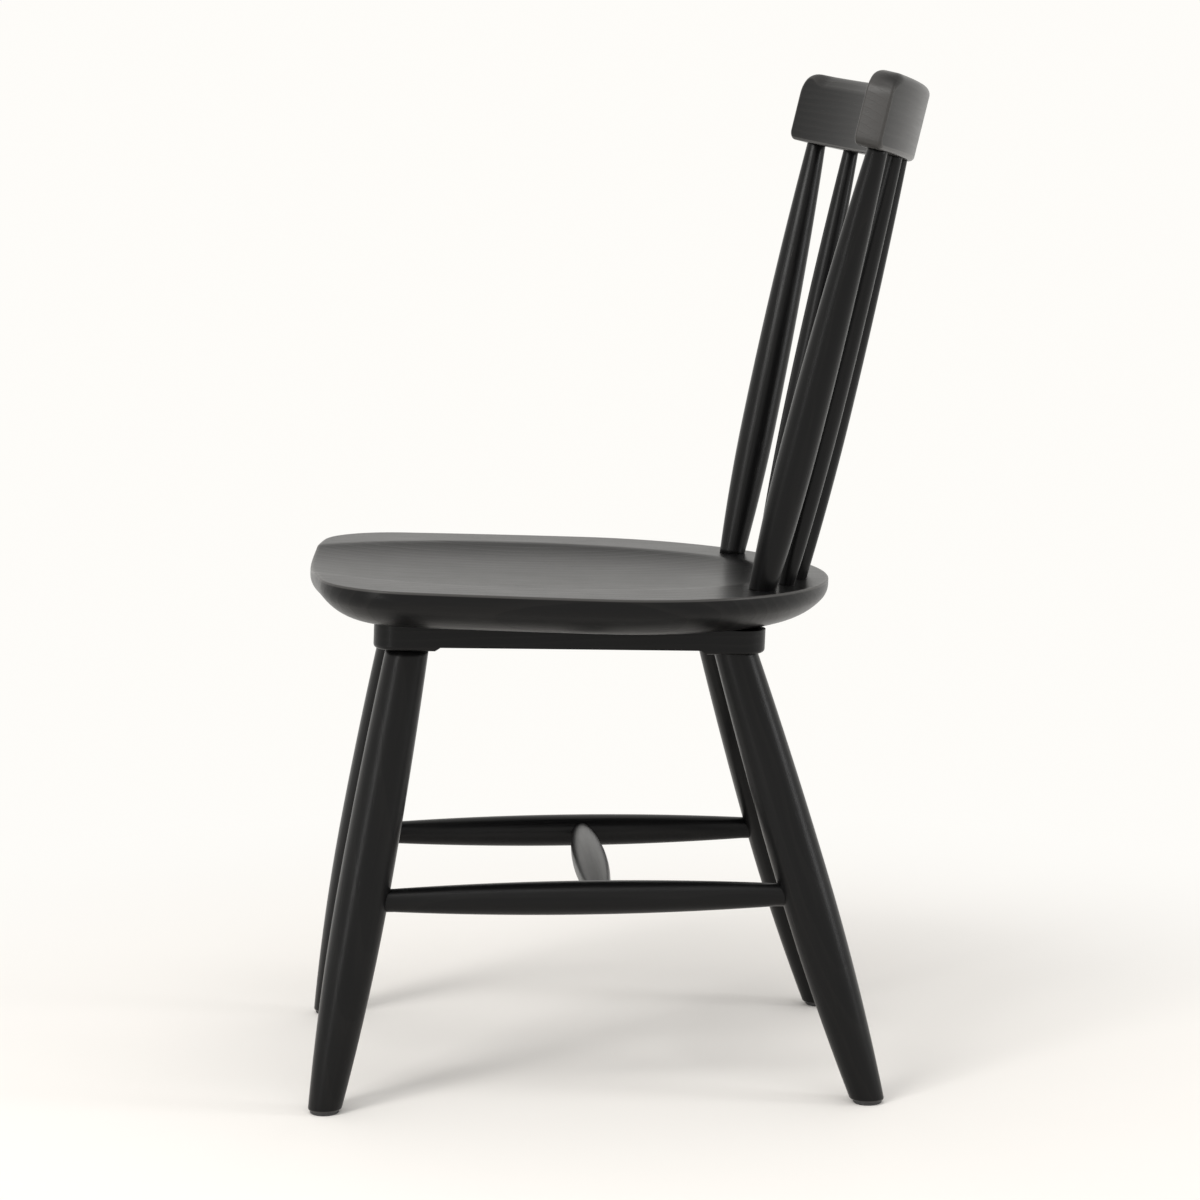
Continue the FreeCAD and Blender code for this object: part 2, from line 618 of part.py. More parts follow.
def make_seat_rail(sign, side):
    """A rail under the seat with round ends and a deeper boss over each leg."""
    place = SEAT_UNDERSIDE.multiply(Placement(Vector(sign * amount("RailSpacing"), 0, 0), NO_TURN))
    body = new_body(side + "_seat_rail", place)
    front, rear = dim("RailFront"), dim("RailRear")
    boss, slope = dim("BossLength"), dim("BossSlope")
    top = fixed(0)

    def shallow(along):
        return along, along * dim("RailTaper") - dim("RailDepth"), "line"

    def deep(along):
        return along, along * dim("RailTaper") - dim("RailDepth") - dim("BossDrop"), "line"

    sketch = new_sketch(body, "YZ_Plane", side + "_rail_side")
    draw_outline(sketch, [
        (-front, top, "line"),
        deep(-front),
        deep(boss - front),
        shallow(boss + slope - front),
        shallow(rear - boss - slope),
        deep(rear - boss),
        deep(rear),
        (rear, top, "line"),
    ])
    rail = body.newObject("PartDesign::Pad", side + "_rail_plank")
    rail.Profile = sketch
    rail.SideType = "Symmetric"
    bind(rail, "Length", dim("RailWidth"))
    body.Tip = rail
    ends = (-amount("RailFront"), amount("RailRear"))

    def at_end_corner(edge):
        box = edge.BoundBox
        upright = box.ZLength > NEAR and box.XLength < NEAR and box.YLength < NEAR
        return upright and any(abs(box.YMin - end) < NEAR for end in ends)

    ease(body, side + "_rail_round_ends", dim("RailEndRadius"), at_end_corner)

    def under_end(edge):
        box = edge.BoundBox
        lowest = amount("RailTaper") * box.Center.y - amount("RailDepth") - amount("BossDrop")
        across_rail = box.XLength > amount("RailWidth") - NEAR and box.YLength < NEAR
        return abs(box.Center.z - lowest) < BOSS_FLATNESS and not across_rail

    ease(body, side + "_rail_easing", dim("BossEasing"), under_end)
    for end in ("front", "rear"):
        leg = LEGS[(end, side)]
        blind_bore(body, "%s_%s_leg_socket" % (side, end), leg.tenon_frame(), dim("LegTenonRadius"),
                   dim("LegTenonLength"))
    for index, frame in enumerate(screw_frames(sign)):
        tag = "%s_screw" % side
        bore(body, "%s_hole_%d" % (tag, index), frame, dim("ScrewRadius") + dim("ScrewClearance"),
             dim("RailDepth") * 2)
        blind_bore(body, "%s_mouth_%d" % (tag, index), frame, dim("ScrewHeadRadius"), fixed(0))
        countersink(body, "%s_sink_%d" % (tag, index), frame, dim("ScrewHeadRadius"),
                    dim("ScrewRadius"), dim("ScrewHeadDepth"))


def make_leg(leg):
    """Turned leg, cut level at the foot and flush with the boss at the top."""
    body = new_body(leg.name + "_leg", shifted(leg.frame, -amount("LegSpare")))
    spare = amount("LegSpare")
    rail = leg.rail_frame()
    length = (rail.Base - leg.foot).Length + 2 * spare
    turn(body, leg.name + "_leg_turning", [
        (fixed(0), dim("LegFootRadius"), "rise"),
        (dim("LegBellyHeight") + dim("LegSpare"), dim("LegBellyRadius"), "fall"),
        (fixed(length), dim("LegTopRadius"), "line"),
    ])
    floor = Placement(Vector(leg.foot.x, leg.foot.y, amount("GlideThickness")), NO_TURN)
    trim(body, leg.name + "_foot_cut", floor, above=False)
    trim(body, leg.name + "_top_cut", rail, above=True)

    def foot_edge(edge):
        middle = body.Placement.multVec(edge.CenterOfMass)
        return abs(middle.z - amount("GlideThickness")) < NEAR

    ease(body, leg.name + "_foot_easing", dim("FootEasing"), foot_edge)
    add_tenon(body, leg.name + "_tenon", leg.tenon_frame(), dim("LegTenonRadius"),
              dim("LegTenonLength"))
    front, rear = stretcher_ends(leg.sign)
    own, other = (front, rear) if leg.name.startswith("front") else (rear, front)
    socket = shifted(line_frame(own, other), amount("StretcherInset"))
    bore(body, leg.name + "_stretcher_socket", socket, dim("StretcherEndRadius"),
         dim("LegBellyRadius") * 2.0)
    nail = Placement(leg.glide_centre(), NO_TURN)
    bore(body, leg.name + "_nail_hole", nail, dim("NailRadius"), dim("NailLength") + dim("NailSink"))


def make_side_stretcher(sign, side):
    front, rear = stretcher_ends(sign)
    frame = shifted(line_frame(front, rear), amount("StretcherInset"))
    length = (rear - front).Length - 2 * amount("StretcherInset")
    body = new_body(side + "_side_stretcher", frame)
    end, belly, neck = dim("StretcherEndRadius"), dim("StretcherBellyRadius"), dim("StretcherNeck")
    turn(body, side + "_stretcher_turning", [
        (fixed(0), end, "line"),
        (neck, end, "rise"),
        (fixed(length / 2), belly, "fall"),
        (fixed(length) - neck, end, "line"),
        (fixed(length), end, "line"),
    ])
    right_end, left_end = cross_ends()
    own, other = (left_end, right_end) if sign > 0 else (right_end, left_end)
    bore(body, side + "_cross_socket", shifted(line_frame(own, other, Z_AXIS), amount("CrossInset")),
         dim("CrossEndRadius"), dim("StretcherBellyRadius") * 2.0)


def make_cross_stretcher():
    right_end, left_end = cross_ends()
    frame = shifted(line_frame(right_end, left_end, Z_AXIS), amount("CrossInset"))
    length = (left_end - right_end).Length - 2 * amount("CrossInset")
    body = new_body("cross_stretcher", frame)
    end, belly, neck = dim("CrossEndRadius"), dim("CrossBellyRadius"), dim("CrossNeck")
    turn(body, "cross_stretcher_turning", [
        (fixed(0), end, "line"),
        (neck, end, "rise"),
        (fixed(length / 2), belly, "fall"),
        (fixed(length) - neck, end, "line"),
        (fixed(length), end, "line"),
    ])


def make_upright(upright):
    """Turned post or spindle, cut to the seat and to the crest rail, with a tenon at each end."""
    kind = upright.kind
    spare = amount("UprightSpare")
    body = new_body(upright.name, shifted(upright.frame, -spare))
    belly = spare + upright.length * amount(kind + "BellyShare")
    turn(body, upright.name + "_turning", [
        (fixed(0), dim(kind + "SeatRadius"), "rise"),
        (fixed(belly), dim(kind + "BellyRadius"), "fall"),
        (fixed(upright.length + 2 * spare), dim(kind + "CrestRadius"), "line"),
    ])
    trim(body, upright.name + "_seat_cut", Placement(upright.base, SEAT.Rotation), above=False)
    trim(body, upright.name + "_crest_cut", Placement(upright.tip, CREST.Rotation), above=True)
    add_tenon(body, upright.name + "_seat_tenon", upright.seat_frame, dim(kind + "TenonRadius"),
              dim("SeatTenonLength"))
    add_tenon(body, upright.name + "_crest_tenon", upright.crest_frame, dim(kind + "TopTenonRadius"),
              dim("CrestTenonLength"))


def bend_axis(sketch):
    """The upright axis that the crest rail is bent about, in front of the crest rail."""
    bend = dim("CrestRadius")
    height = dim("CrestDepth")
    axis = Part.LineSegment(Vector(-bend.value, 0, 0), Vector(-bend.value, height.value, 0))
    index = sketch.addGeometry(axis, True)
    hold(sketch, "DistanceX", "bend_axis", index, 1, -bend)
    sketch.addConstraint(Sketcher.Constraint("PointOnObject", index, 1, -1))
    sketch.addConstraint(Sketcher.Constraint("Vertical", index))
    hold(sketch, "DistanceY", "bend_axis_end", index, 2, height)


def is_radial(edge):
    """True for the crest rail's straight level edges, which run through its thickness."""
    return edge.Curve.TypeId == "Part::GeomLine" and edge.BoundBox.ZLength < NEAR


def make_crest_rail():
    """A plank bent on one radius, with rounded corners and a rolled top edge."""
    body = new_body("crest_rail", CREST)
    half = dim("CrestThickness") * 0.5
    depth = dim("CrestDepth")
    section = new_sketch(body, "YZ_Plane", "crest_section")
    draw_outline(section, [
        (-half, fixed(0), "line"),
        (half, fixed(0), "line"),
        (half, depth, "line"),
        (-half, depth, "line"),
    ])
    bend_axis(section)
    plank = body.newObject("PartDesign::Revolution", "crest_plank")
    plank.Profile = section
    plank.ReferenceAxis = (section, ["Axis0"])
    reach = amount("CrestHalfWidth") / (amount("CrestRadius") + half.value)
    plank.Angle = 2 * math.degrees(math.asin(reach))
    plank.Midplane = True
    body.Tip = plank
    ease(body, "crest_low_corners", dim("CrestLowCorner"),
         lambda edge: is_radial(edge) and edge.BoundBox.ZMax < 1)
    ease(body, "crest_top_corners", dim("CrestTopCorner"),
         lambda edge: is_radial(edge) and edge.BoundBox.ZMin > 1)
    roll_top_edge(body, half, depth)
    ease(body, "crest_arris", dim("CrestArris"), lambda edge: not is_radial(edge))
    for upright in UPRIGHTS:
        blind_bore(body, upright.name + "_socket", upright.crest_frame,
                   dim(upright.kind + "TopTenonRadius"), dim("CrestTenonLength"))


def roll_top_edge(body, half, depth):
    """Cuts the front of the top edge back along the whole bend."""
    waste = new_sketch(body, "YZ_Plane", "crest_roll_waste")
    start = depth - dim("CrestRollDepth")
    back = dim("CrestRollBack") - half
    spare = WASTE_SPARE
    draw_outline(waste, [
        (-half, start, "line"),
        (back, depth, "line"),
        (back, depth + spare, "line"),
        (-half - spare, depth + spare, "line"),
        (-half - spare, start, "line"),
    ])
    bend_axis(waste)
    groove = body.newObject("PartDesign::Groove", "crest_roll")
    groove.Profile = waste
    groove.ReferenceAxis = (waste, ["Axis0"])
    groove.Angle = SWEEP_ANGLE
    groove.Midplane = True
    body.Tip = groove


def make_glide(leg):
    """A round plastic disc under one foot, with a recess for its nail's head."""
    place = Placement(leg.glide_centre(), NO_TURN)
    body = new_body(leg.name + "_glide", place)
    radius, thick, easing = dim("GlideRadius"), dim("GlideThickness"), dim("GlideEasing")
    turn(body, leg.name + "_glide_disc", [
        (fixed(0), radius - easing, "line"),
        (easing, radius, "line"),
        (thick, radius, "line"),
    ])
    bore(body, leg.name + "_glide_hole", place, dim("NailRadius"), thick)
    bore(body, leg.name + "_glide_recess", place, dim("NailHeadRadius"),
         dim("NailSink") + dim("NailHeadDepth"))


def solid(kind, name, place, **sizes):
    """A plain round or square solid whose sizes are bound to the sheet."""
    feature = doc.addObject("Part::" + kind, name)
    for key, size in sizes.items():
        bind(feature, key, size)
    feature.Placement = place
    return feature


def joined(name, pieces):
    feature = doc.addObject("Part::MultiFuse", name)
    feature.Shapes = pieces
    return feature


def collected(label, pieces):
    """Several separate solids of the same kind that share one node."""
    feature = doc.addObject("Part::Compound", label)
    feature.Label = label
    feature.Links = pieces
    feature.Placement = Placement()
    return feature


def make_glide_nails():
    nails = []
    for leg in LEGS.values():
        head = Placement(leg.glide_centre() + Vector(0, 0, amount("NailSink")), NO_TURN)
        name = leg.name + "_nail"
        nails.append(joined(name, [
            solid("Cylinder", name + "_head", head, Radius=dim("NailHeadRadius"),
                  Height=dim("NailHeadDepth")),
            solid("Cylinder", name + "_shank", head, Radius=dim("NailRadius"),
                  Height=dim("NailLength")),
        ]))
    return collected("glide_nails", nails)


def make_rail_screws():
    screws = []
    shank = dim("ScrewLength") - dim("ScrewTip")
    for sign, side in BOTH_SIDES:
        for index, frame in enumerate(screw_frames(sign)):
            name = "%s_screw_%d" % (side, index)
            whole = joined(name + "_turning", [
                solid("Cone", name + "_head", frame, Radius1=dim("ScrewHeadRadius"),
                      Radius2=dim("ScrewRadius"), Height=dim("ScrewHeadDepth")),
                solid("Cylinder", name + "_shank", frame, Radius=dim("ScrewRadius"), Height=shank),
                solid("Cone", name + "_tip", shifted(frame, shank.value), Radius1=dim("ScrewRadius"),
                      Radius2=dim("ScrewPoint"), Height=dim("ScrewTip")),
            ])
            screws.append(slotted(name, whole, frame))
    return collected("seat_rail_screws", screws)


def slotted(name, whole, frame):
    """The screw with a cross cut into its head."""
    long, wide = dim("ScrewRadius") * 2.4, dim("ScrewSlotWidth")
    slots = []
    for turn_angle in (0, 90):
        corner = Placement(Vector(-long.value / 2, -wide.value / 2, 0), NO_TURN)
        place = frame.multiply(Placement(Vector(), Rotation(Z_AXIS, turn_angle))).multiply(corner)
        slots.append(solid("Box", "%s_slot_%d" % (name, turn_angle), place, Length=long, Width=wide,
                           Height=dim("ScrewSlotDepth")))
    cut = doc.addObject("Part::Cut", name)
    cut.Base = whole
    cut.Tool = joined(name + "_cross", slots)
    return cut


def is_broken(item):
    return "Invalid" in item.State or "Error" in item.State


def write_parts(pieces):
    """Checks every feature and every finished piece, then writes one file per piece."""
    broken = [item.Name for item in doc.Objects if is_broken(item)]
    if broken:
        raise RuntimeError("features failed: " + ", ".join(broken))
    for piece in pieces:
        if piece.Shape.isNull() or not piece.Shape.isValid() or not piece.Shape.Solids:
            raise RuntimeError("no sound solid in " + piece.Label)
    os.makedirs("parts", exist_ok=True)
    for piece in pieces:
        piece.Shape.exportStep("parts/%s.step" % piece.Label)


make_seat()
for sign, side in BOTH_SIDES:
    make_seat_rail(sign, side)
    make_side_stretcher(sign, side)
for leg in LEGS.values():
    make_leg(leg)
    make_glide(leg)
make_cross_stretcher()
for upright in UPRIGHTS:
    make_upright(upright)
make_crest_rail()
fasteners = [make_glide_nails(), make_rail_screws()]
doc.recompute()
bodies = [item for item in doc.Objects if item.TypeId == "PartDesign::Body"]
write_parts(bodies + fasteners)
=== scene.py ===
"""The looks of a black painted spindle-back chair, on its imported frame.

Each operator makes one kind of piece of the chair. A piece of wood is modelled in a frame
of its own and then set in its place. Every point of it remembers where it lay in the
straight board or blank it was cut from, with the grain along Z, and the paint reads that.
"""

import math

import bmesh
import bpy
from bpy.props import FloatProperty, FloatVectorProperty, PointerProperty
from bpy.types import Operator, Panel, PropertyGroup
from mathutils import Matrix, Vector


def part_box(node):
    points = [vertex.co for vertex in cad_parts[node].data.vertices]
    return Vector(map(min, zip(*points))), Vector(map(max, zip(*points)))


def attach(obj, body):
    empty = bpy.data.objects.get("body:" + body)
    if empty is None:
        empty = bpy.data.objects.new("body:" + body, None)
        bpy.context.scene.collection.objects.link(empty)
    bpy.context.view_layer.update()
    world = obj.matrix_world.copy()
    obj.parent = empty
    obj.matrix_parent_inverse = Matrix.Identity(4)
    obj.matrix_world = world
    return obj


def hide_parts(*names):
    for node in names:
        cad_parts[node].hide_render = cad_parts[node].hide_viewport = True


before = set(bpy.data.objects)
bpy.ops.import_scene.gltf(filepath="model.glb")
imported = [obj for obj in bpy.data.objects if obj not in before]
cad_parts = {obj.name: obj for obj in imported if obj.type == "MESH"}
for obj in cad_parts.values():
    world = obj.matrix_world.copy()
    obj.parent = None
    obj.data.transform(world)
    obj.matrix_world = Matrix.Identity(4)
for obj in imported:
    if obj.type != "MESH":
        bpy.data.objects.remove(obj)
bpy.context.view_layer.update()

bl_info = {
    "name": "Spindle-Back Chair",
    "version": (1, 0, 0),
    "blender": (4, 5, 0),
    "location": "View3D > Sidebar > Chair",
    "description": "Black painted spindle-back chair with a saddled seat and turned legs",
    "category": "Add Mesh",
}

BODY = "root"
SIDES = (("left", 1), ("right", -1))
LEGS = tuple((end, side, sign) for end in ("front", "rear") for side, sign in SIDES)
AROUND = 48
EASING_PARTS = 6
X_AXIS = Vector((1, 0, 0))
Z_AXIS = Vector((0, 0, 1))


# Properties


def length(name, default, description):
    return FloatProperty(name=name, description=description, default=default, unit="LENGTH",
                         precision=4)


def angle(name, default, description):
    return FloatProperty(name=name, description=description, default=math.radians(default),
                         unit="ROTATION")


def share(name, default, description):
    return FloatProperty(name=name, description=description, default=default, min=0.0, max=1.0,
                         subtype="FACTOR")


def colour(name, default, description):
    return FloatVectorProperty(name=name, description=description, default=default, size=3,
                               min=0.0, max=1.0, subtype="COLOR")


def place(name, default, description):
    return FloatVectorProperty(name=name, description=description, default=default,
                               subtype="XYZ", unit="LENGTH")


class PaintSettings(PropertyGroup):
    colour: colour("Paint", (0.0032, 0.0032, 0.0034), "Colour of the black paint")
    thin: colour("Thin paint", (0.0090, 0.0085, 0.0082), "Paint over raised grain")
    # The edge colour is a painted highlight: a lighter colour along the arrises that stands in for
    # the light they catch.
    edge: colour("Edge", (0.060, 0.058, 0.056), "Polished paint along the arrises")
    roughness: share("Roughness", 0.31, "Roughness of the satin paint")
    gloss: share("Specular level", 0.18, "How strongly the satin paint mirrors")
    grain: length("Grain depth", 0.00035, "Height of the grain that shows through the paint")
    plastic: colour("Glide", (0.02, 0.02, 0.021), "Colour of the plastic glides")
    steel: colour("Steel", (0.62, 0.62, 0.63), "Colour of the zinc plated screws and nails")


class SeatSettings(PropertyGroup):
    middle: place("Middle", (0.0, -0.0177, 0.4495), "Middle of the seat's rear curve")
    tilt: angle("Tilt", 2.2, "How far the seat leans back")
    thickness: length("Thickness", 0.0355, "Thickness of the seat")
    front: length("Front reach", 0.251, "From the middle to the front edge")
    rear_radius: length("Rear radius", 0.210, "Radius of the rear curve")
    side_radius: length("Side radius", 1.900, "Radius of the sides")
    corner_radius: length("Corner radius", 0.082, "Radius of the front corners")
    front_radius: length("Front radius", 0.900, "Radius of the front edge")
    arris: length("Arris", 0.0016, "Rounding of the top edge")
    bevel_width: length("Bevel width", 0.044, "How far the under-bevel reaches in")
    bevel_depth: length("Bevel depth", 0.0295, "How far the under-bevel reaches up")
    bevel_radius: length("Bevel radius", 0.017, "Radius of the bevel next to the side")
    dish_width: length("Dish half width", 0.148, "Half the width of the saddle")
    dish_length: length("Dish half length", 0.220, "Half the length of the saddle")
    dish_forward: length("Dish forward", 0.062, "How far the saddle lies in front of the middle")
    dish_depth: length("Dish depth", 0.0125, "Depth of the saddle")


class LegSettings(PropertyGroup):
    forward: length("Forward", 0.0142, "How far the stretchers' middle lies in front")
    foot_side: length("Foot spacing", 0.1645, "From the middle to a foot, sideways")
    front_foot: length("Front foot", 0.246, "From the middle to a front foot")
    rear_foot: length("Rear foot", 0.2254, "From the middle to a rear foot")
    top_side: length("Top spacing", 0.109, "From the middle to a leg's top, sideways")
    front_top: length("Front top", 0.1715, "From the middle to a front leg's top")
    rear_top: length("Rear top", 0.113, "From the middle to a rear leg's top")
    top_height: length("Top height", 0.3885, "Height of the point where a leg's axis ends")
    foot_radius: length("Foot radius", 0.014, "Radius at the foot")
    belly_radius: length("Belly radius", 0.0225, "Radius at the thickest place")
    top_radius: length("Top radius", 0.0187, "Radius at the top")
    belly_height: length("Belly height", 0.196, "From the foot to the thickest place")
    easing: length("Foot easing", 0.0018, "Rounding of the foot")
    glide: length("Glide", 0.003, "Thickness of the glide under the foot")


class StretcherSettings(PropertyGroup):
    height: length("Height", 0.1794, "Height of the stretchers")
    inset: length("Inset", 0.004, "From a leg's axis to the end of a side stretcher")
    end_radius: length("End radius", 0.010, "Radius of a side stretcher's ends")
    belly_radius: length("Belly radius", 0.0147, "Radius of a side stretcher's middle")
    neck: length("Neck", 0.023, "Length of the straight end of a side stretcher")
    cross_forward: length("Cross forward", 0.006, "How far the cross stretcher lies in front")
    cross_inset: length("Cross inset", 0.003, "From a side stretcher's axis to the cross's end")
    cross_end_radius: length("Cross end radius", 0.009, "Radius of the cross stretcher's ends")
    cross_belly_radius: length("Cross belly radius", 0.0156, "Radius of the cross's middle")
    cross_neck: length("Cross neck", 0.0135, "Length of the cross's straight ends")


class BackSettings(PropertyGroup):
    middle: place("Crest", (0.0, 0.2481, 0.8095), "Middle of the crest rail's underside")
    lean: angle("Lean", 13.5, "How far the crest rail leans back")
    bend: length("Bend", 0.450, "Radius the crest rail is bent to")
    half_width: length("Half width", 0.228, "Half the width of the crest rail")
    depth: length("Depth", 0.0645, "Height of the crest rail")
    thickness: length("Thickness", 0.024, "Thickness of the crest rail")
    top_corner: length("Top corner", 0.021, "Radius of the crest rail's top corners")
    low_corner: length("Low corner", 0.0085, "Radius of the crest rail's low corners")
    circle: length("Circle", 0.1845, "Radius of the circle the uprights stand on")
    seat_step: angle("Seat step", 13.9, "Angle between two uprights at the seat")
    crest_step: angle("Crest step", 8.55, "Angle between two uprights at the crest rail")
    post_seat: length("Post foot", 0.0115, "Radius of a post at the seat")
    post_belly: length("Post belly", 0.0159, "Radius of a post at its thickest place")
    post_crest: length("Post top", 0.0086, "Radius of a post at the crest rail")
    post_share: share("Post belly place", 0.32, "Where a post is thickest")
    spindle_seat: length("Spindle foot", 0.0068, "Radius of a spindle at the seat")
    spindle_belly: length("Spindle belly", 0.0112, "Radius of a spindle at its thickest place")
    spindle_crest: length("Spindle top", 0.0069, "Radius of a spindle at the crest rail")
    spindle_share: share("Spindle belly place", 0.41, "Where a spindle is thickest")


class StageSettings(PropertyGroup):
    background: colour("Background", (0.991, 0.977, 0.945), "Pale wall behind the chair")
    floor: colour("Floor", (0.82, 0.797, 0.765), "Pale floor under the chair")
    daylight: FloatProperty(name="Daylight", description="Strength of the room's own light",
                            default=0.90, min=0.0)
    camera: place("Camera", (3.0116, -0.2120, 0.8571), "Where the camera stands")
    target: place("Target", (0.0, -0.0114, 0.41865), "What the camera looks at")
    lens: FloatProperty(name="Lens", description="Focal length in millimetres", default=102.35)


# Meshes


def blend(first, second, amount):
    return first + (second - first) * amount


def eased(value, start, end):
    """0 before the start, 1 after the end, with a smooth rise between."""
    step = min(max((value - start) / (end - start), 0.0), 1.0)
    return step * step * (3.0 - 2.0 * step)


def frame_along(start, end, hint=X_AXIS):
    """A frame at the start whose Z axis points at the end."""
    along = (end - start).normalized()
    side = along.cross(hint).normalized()
    turn = Matrix((side.cross(along), side, along)).transposed().to_4x4()
    return Matrix.Translation(start) @ turn


def swell(along, start, end, thin, thick, thick_end):
    """Radius of an arc that is thickest at one of its ends."""
    step = (along - start) / (end - start)
    away = 1.0 - step if thick_end else step
    return thick - (thick - thin) * away * away


class Blank:
    """Collects the points of one wooden piece and the places they had in the blank."""

    def __init__(self):
        self.bm = bmesh.new()
        self.wood = self.bm.verts.layers.float_vector.new("wood")
        # The arris value marks where the paint gets its painted highlight along the rounded edges.
        self.arris = self.bm.verts.layers.float.new("arris")

    def point(self, spot, wood, arris=0.0):
        vert = self.bm.verts.new(spot)
        vert[self.wood] = wood
        vert[self.arris] = arris
        return vert

    def join(self, first, second):
        """A band of faces between two closed rings of points."""
        count = len(first)
        for index in range(count):
            after = (index + 1) % count
            self.bm.faces.new((first[index], first[after], second[after], second[index]))

    def finish(self, name, where, material, *nodes):
        bmesh.ops.recalc_face_normals(self.bm, faces=self.bm.faces)
        self.bm.transform(where)
        mesh = bpy.data.meshes.new(name)
        self.bm.to_mesh(mesh)
        self.bm.free()
        mesh.shade_smooth()
        mesh.materials.append(material)
        piece = bpy.data.objects.new(name, mesh)
        bpy.context.collection.objects.link(piece)
        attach(piece, BODY)
        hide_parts(*nodes)


def eased_foot(easing):
    """Stations of a rounded foot: for each a share of the length, an inset and a lift."""
    turns = [math.radians(90 * part / EASING_PARTS) for part in range(EASING_PARTS, -1, -1)]
    return [(0.0, easing * (1 - math.cos(turn)), easing * (1 - math.sin(turn))) for turn in turns]


def turned(name, where, radius, first_end, last_end, material, node, seed, easing=0.0, steps=64):
    """A turned piece along Z. Its ends may be cut aslant: each gives a height for a point.

    The seed sets its blank apart from the others, so that no two show the same grain.
    """
    blank = Blank()
    apart = Vector((seed, seed * 0.7, seed * 3.1))
    rings = []
    stations = [(step / steps, 0.0, 0.0) for step in range(steps + 1)]
    if easing:
        stations[:1] = eased_foot(easing)
    for along, inset, lift in stations:
        ring = []
        for index in range(AROUND):
            turn = 2 * math.pi * index / AROUND
            way = Vector((math.cos(turn), math.sin(turn), 0))
            height = blend(first_end(way), last_end(way), along) + lift
            reach = radius(height) - inset
            spot = way * reach + Z_AXIS * height
            # Points on the eased foot are marked as arris, so they get the painted highlight.
            ring.append(blank.point(spot, spot + apart, 1.0 if inset else 0.0))
        rings.append(ring)
    for first, second in zip(rings, rings[1:]):
        blank.join(first, second)
    blank.bm.faces.new(rings[0])
    blank.bm.faces.new(rings[-1])
    blank.finish(name, where, material, node)


def board(name, where, rim, across, up, rings, shape, wood, material, node):
    """A board from its outline. Each ring gives an inset, a height and an arris (the share of
    painted highlight) for a normal.
    """
    blank = Blank()
    loops = []
    flats = []
    for ring in rings:
        loop = []
        flat = []
        for spot, normal in rim:
            inset, height, arris = ring(spot, normal)
            place_in_board = Vector((spot.x - normal.x * inset, spot.y - normal.y * inset, height))
            flat.append(place_in_board)
            loop.append(blank.point(shape(place_in_board), wood(place_in_board), arris))
        loops.append(loop)
        flats.append(flat)
    for first, second in zip(loops, loops[1:]):
        blank.join(first, second)
    for loop, flat in ((loops[0], flats[0]), (loops[-1], flats[-1])):
        cover(blank, loop, flat, across, up, shape, wood)
    blank.finish(name, where, material, node)


def cover(blank, loop, flat, across, up, shape, wood):
    """Fills a ring of points with a grid drawn between its four sides."""
    low = list(range(0, across + 1))
    right = list(range(across, across + up + 1))
    high = list(range(2 * across + up, across + up - 1, -1))
    left = [0] + list(range(2 * (across + up) - 1, 2 * across + up - 1, -1))
    grid = {}
    for i in range(across + 1):
        grid[i, 0] = loop[low[i]]
        grid[i, up] = loop[high[i]]
    for j in range(up + 1):
        grid[0, j] = loop[left[j]]
        grid[across, j] = loop[right[j]]
    corners = [flat[low[0]], flat[low[-1]], flat[high[0]], flat[high[-1]]]
    for i in range(1, across):
        for j in range(1, up):
            u = i / across
            v = j / up
            between_rows = blend(flat[low[i]], flat[high[i]], v)
            between_sides = blend(flat[left[j]], flat[right[j]], u)
            bilinear = blend(blend(corners[0], corners[1], u), blend(corners[2], corners[3], u), v)
            spot = between_rows + between_sides - bilinear
            grid[i, j] = blank.point(shape(spot), wood(spot))
    for i in range(across):
        for j in range(up):
            blank.bm.faces.new((grid[i, j], grid[i + 1, j], grid[i + 1, j + 1], grid[i, j + 1]))


def arc_points(centre, radius, first, last, steps):
    """Points on an arc with the normals that point out of it, without the last point."""
    points = []
    for step in range(steps):
        turn = blend(first, last, step / steps)
        normal = Vector((math.cos(turn), math.sin(turn)))
        points.append((centre + normal * radius, normal))
    return points


def line_points(start, end, normal, steps):
    return [(start.lerp(end, step / steps), normal) for step in range(steps)]


# Seat


SEAT_FRONT_STEPS = 60
SEAT_CORNER_STEPS = 14
SEAT_SIDE_STEPS = 34
SEAT_REAR_STEPS = 44
SEAT_ARRIS_PARTS = 5
SEAT_BEVEL_PARTS = 10
SEAT_UNDER_PARTS = 12
DISH_REACH = 1.04
DISH_POWER = 4
DISH_RISE = (-0.08, 0.16)


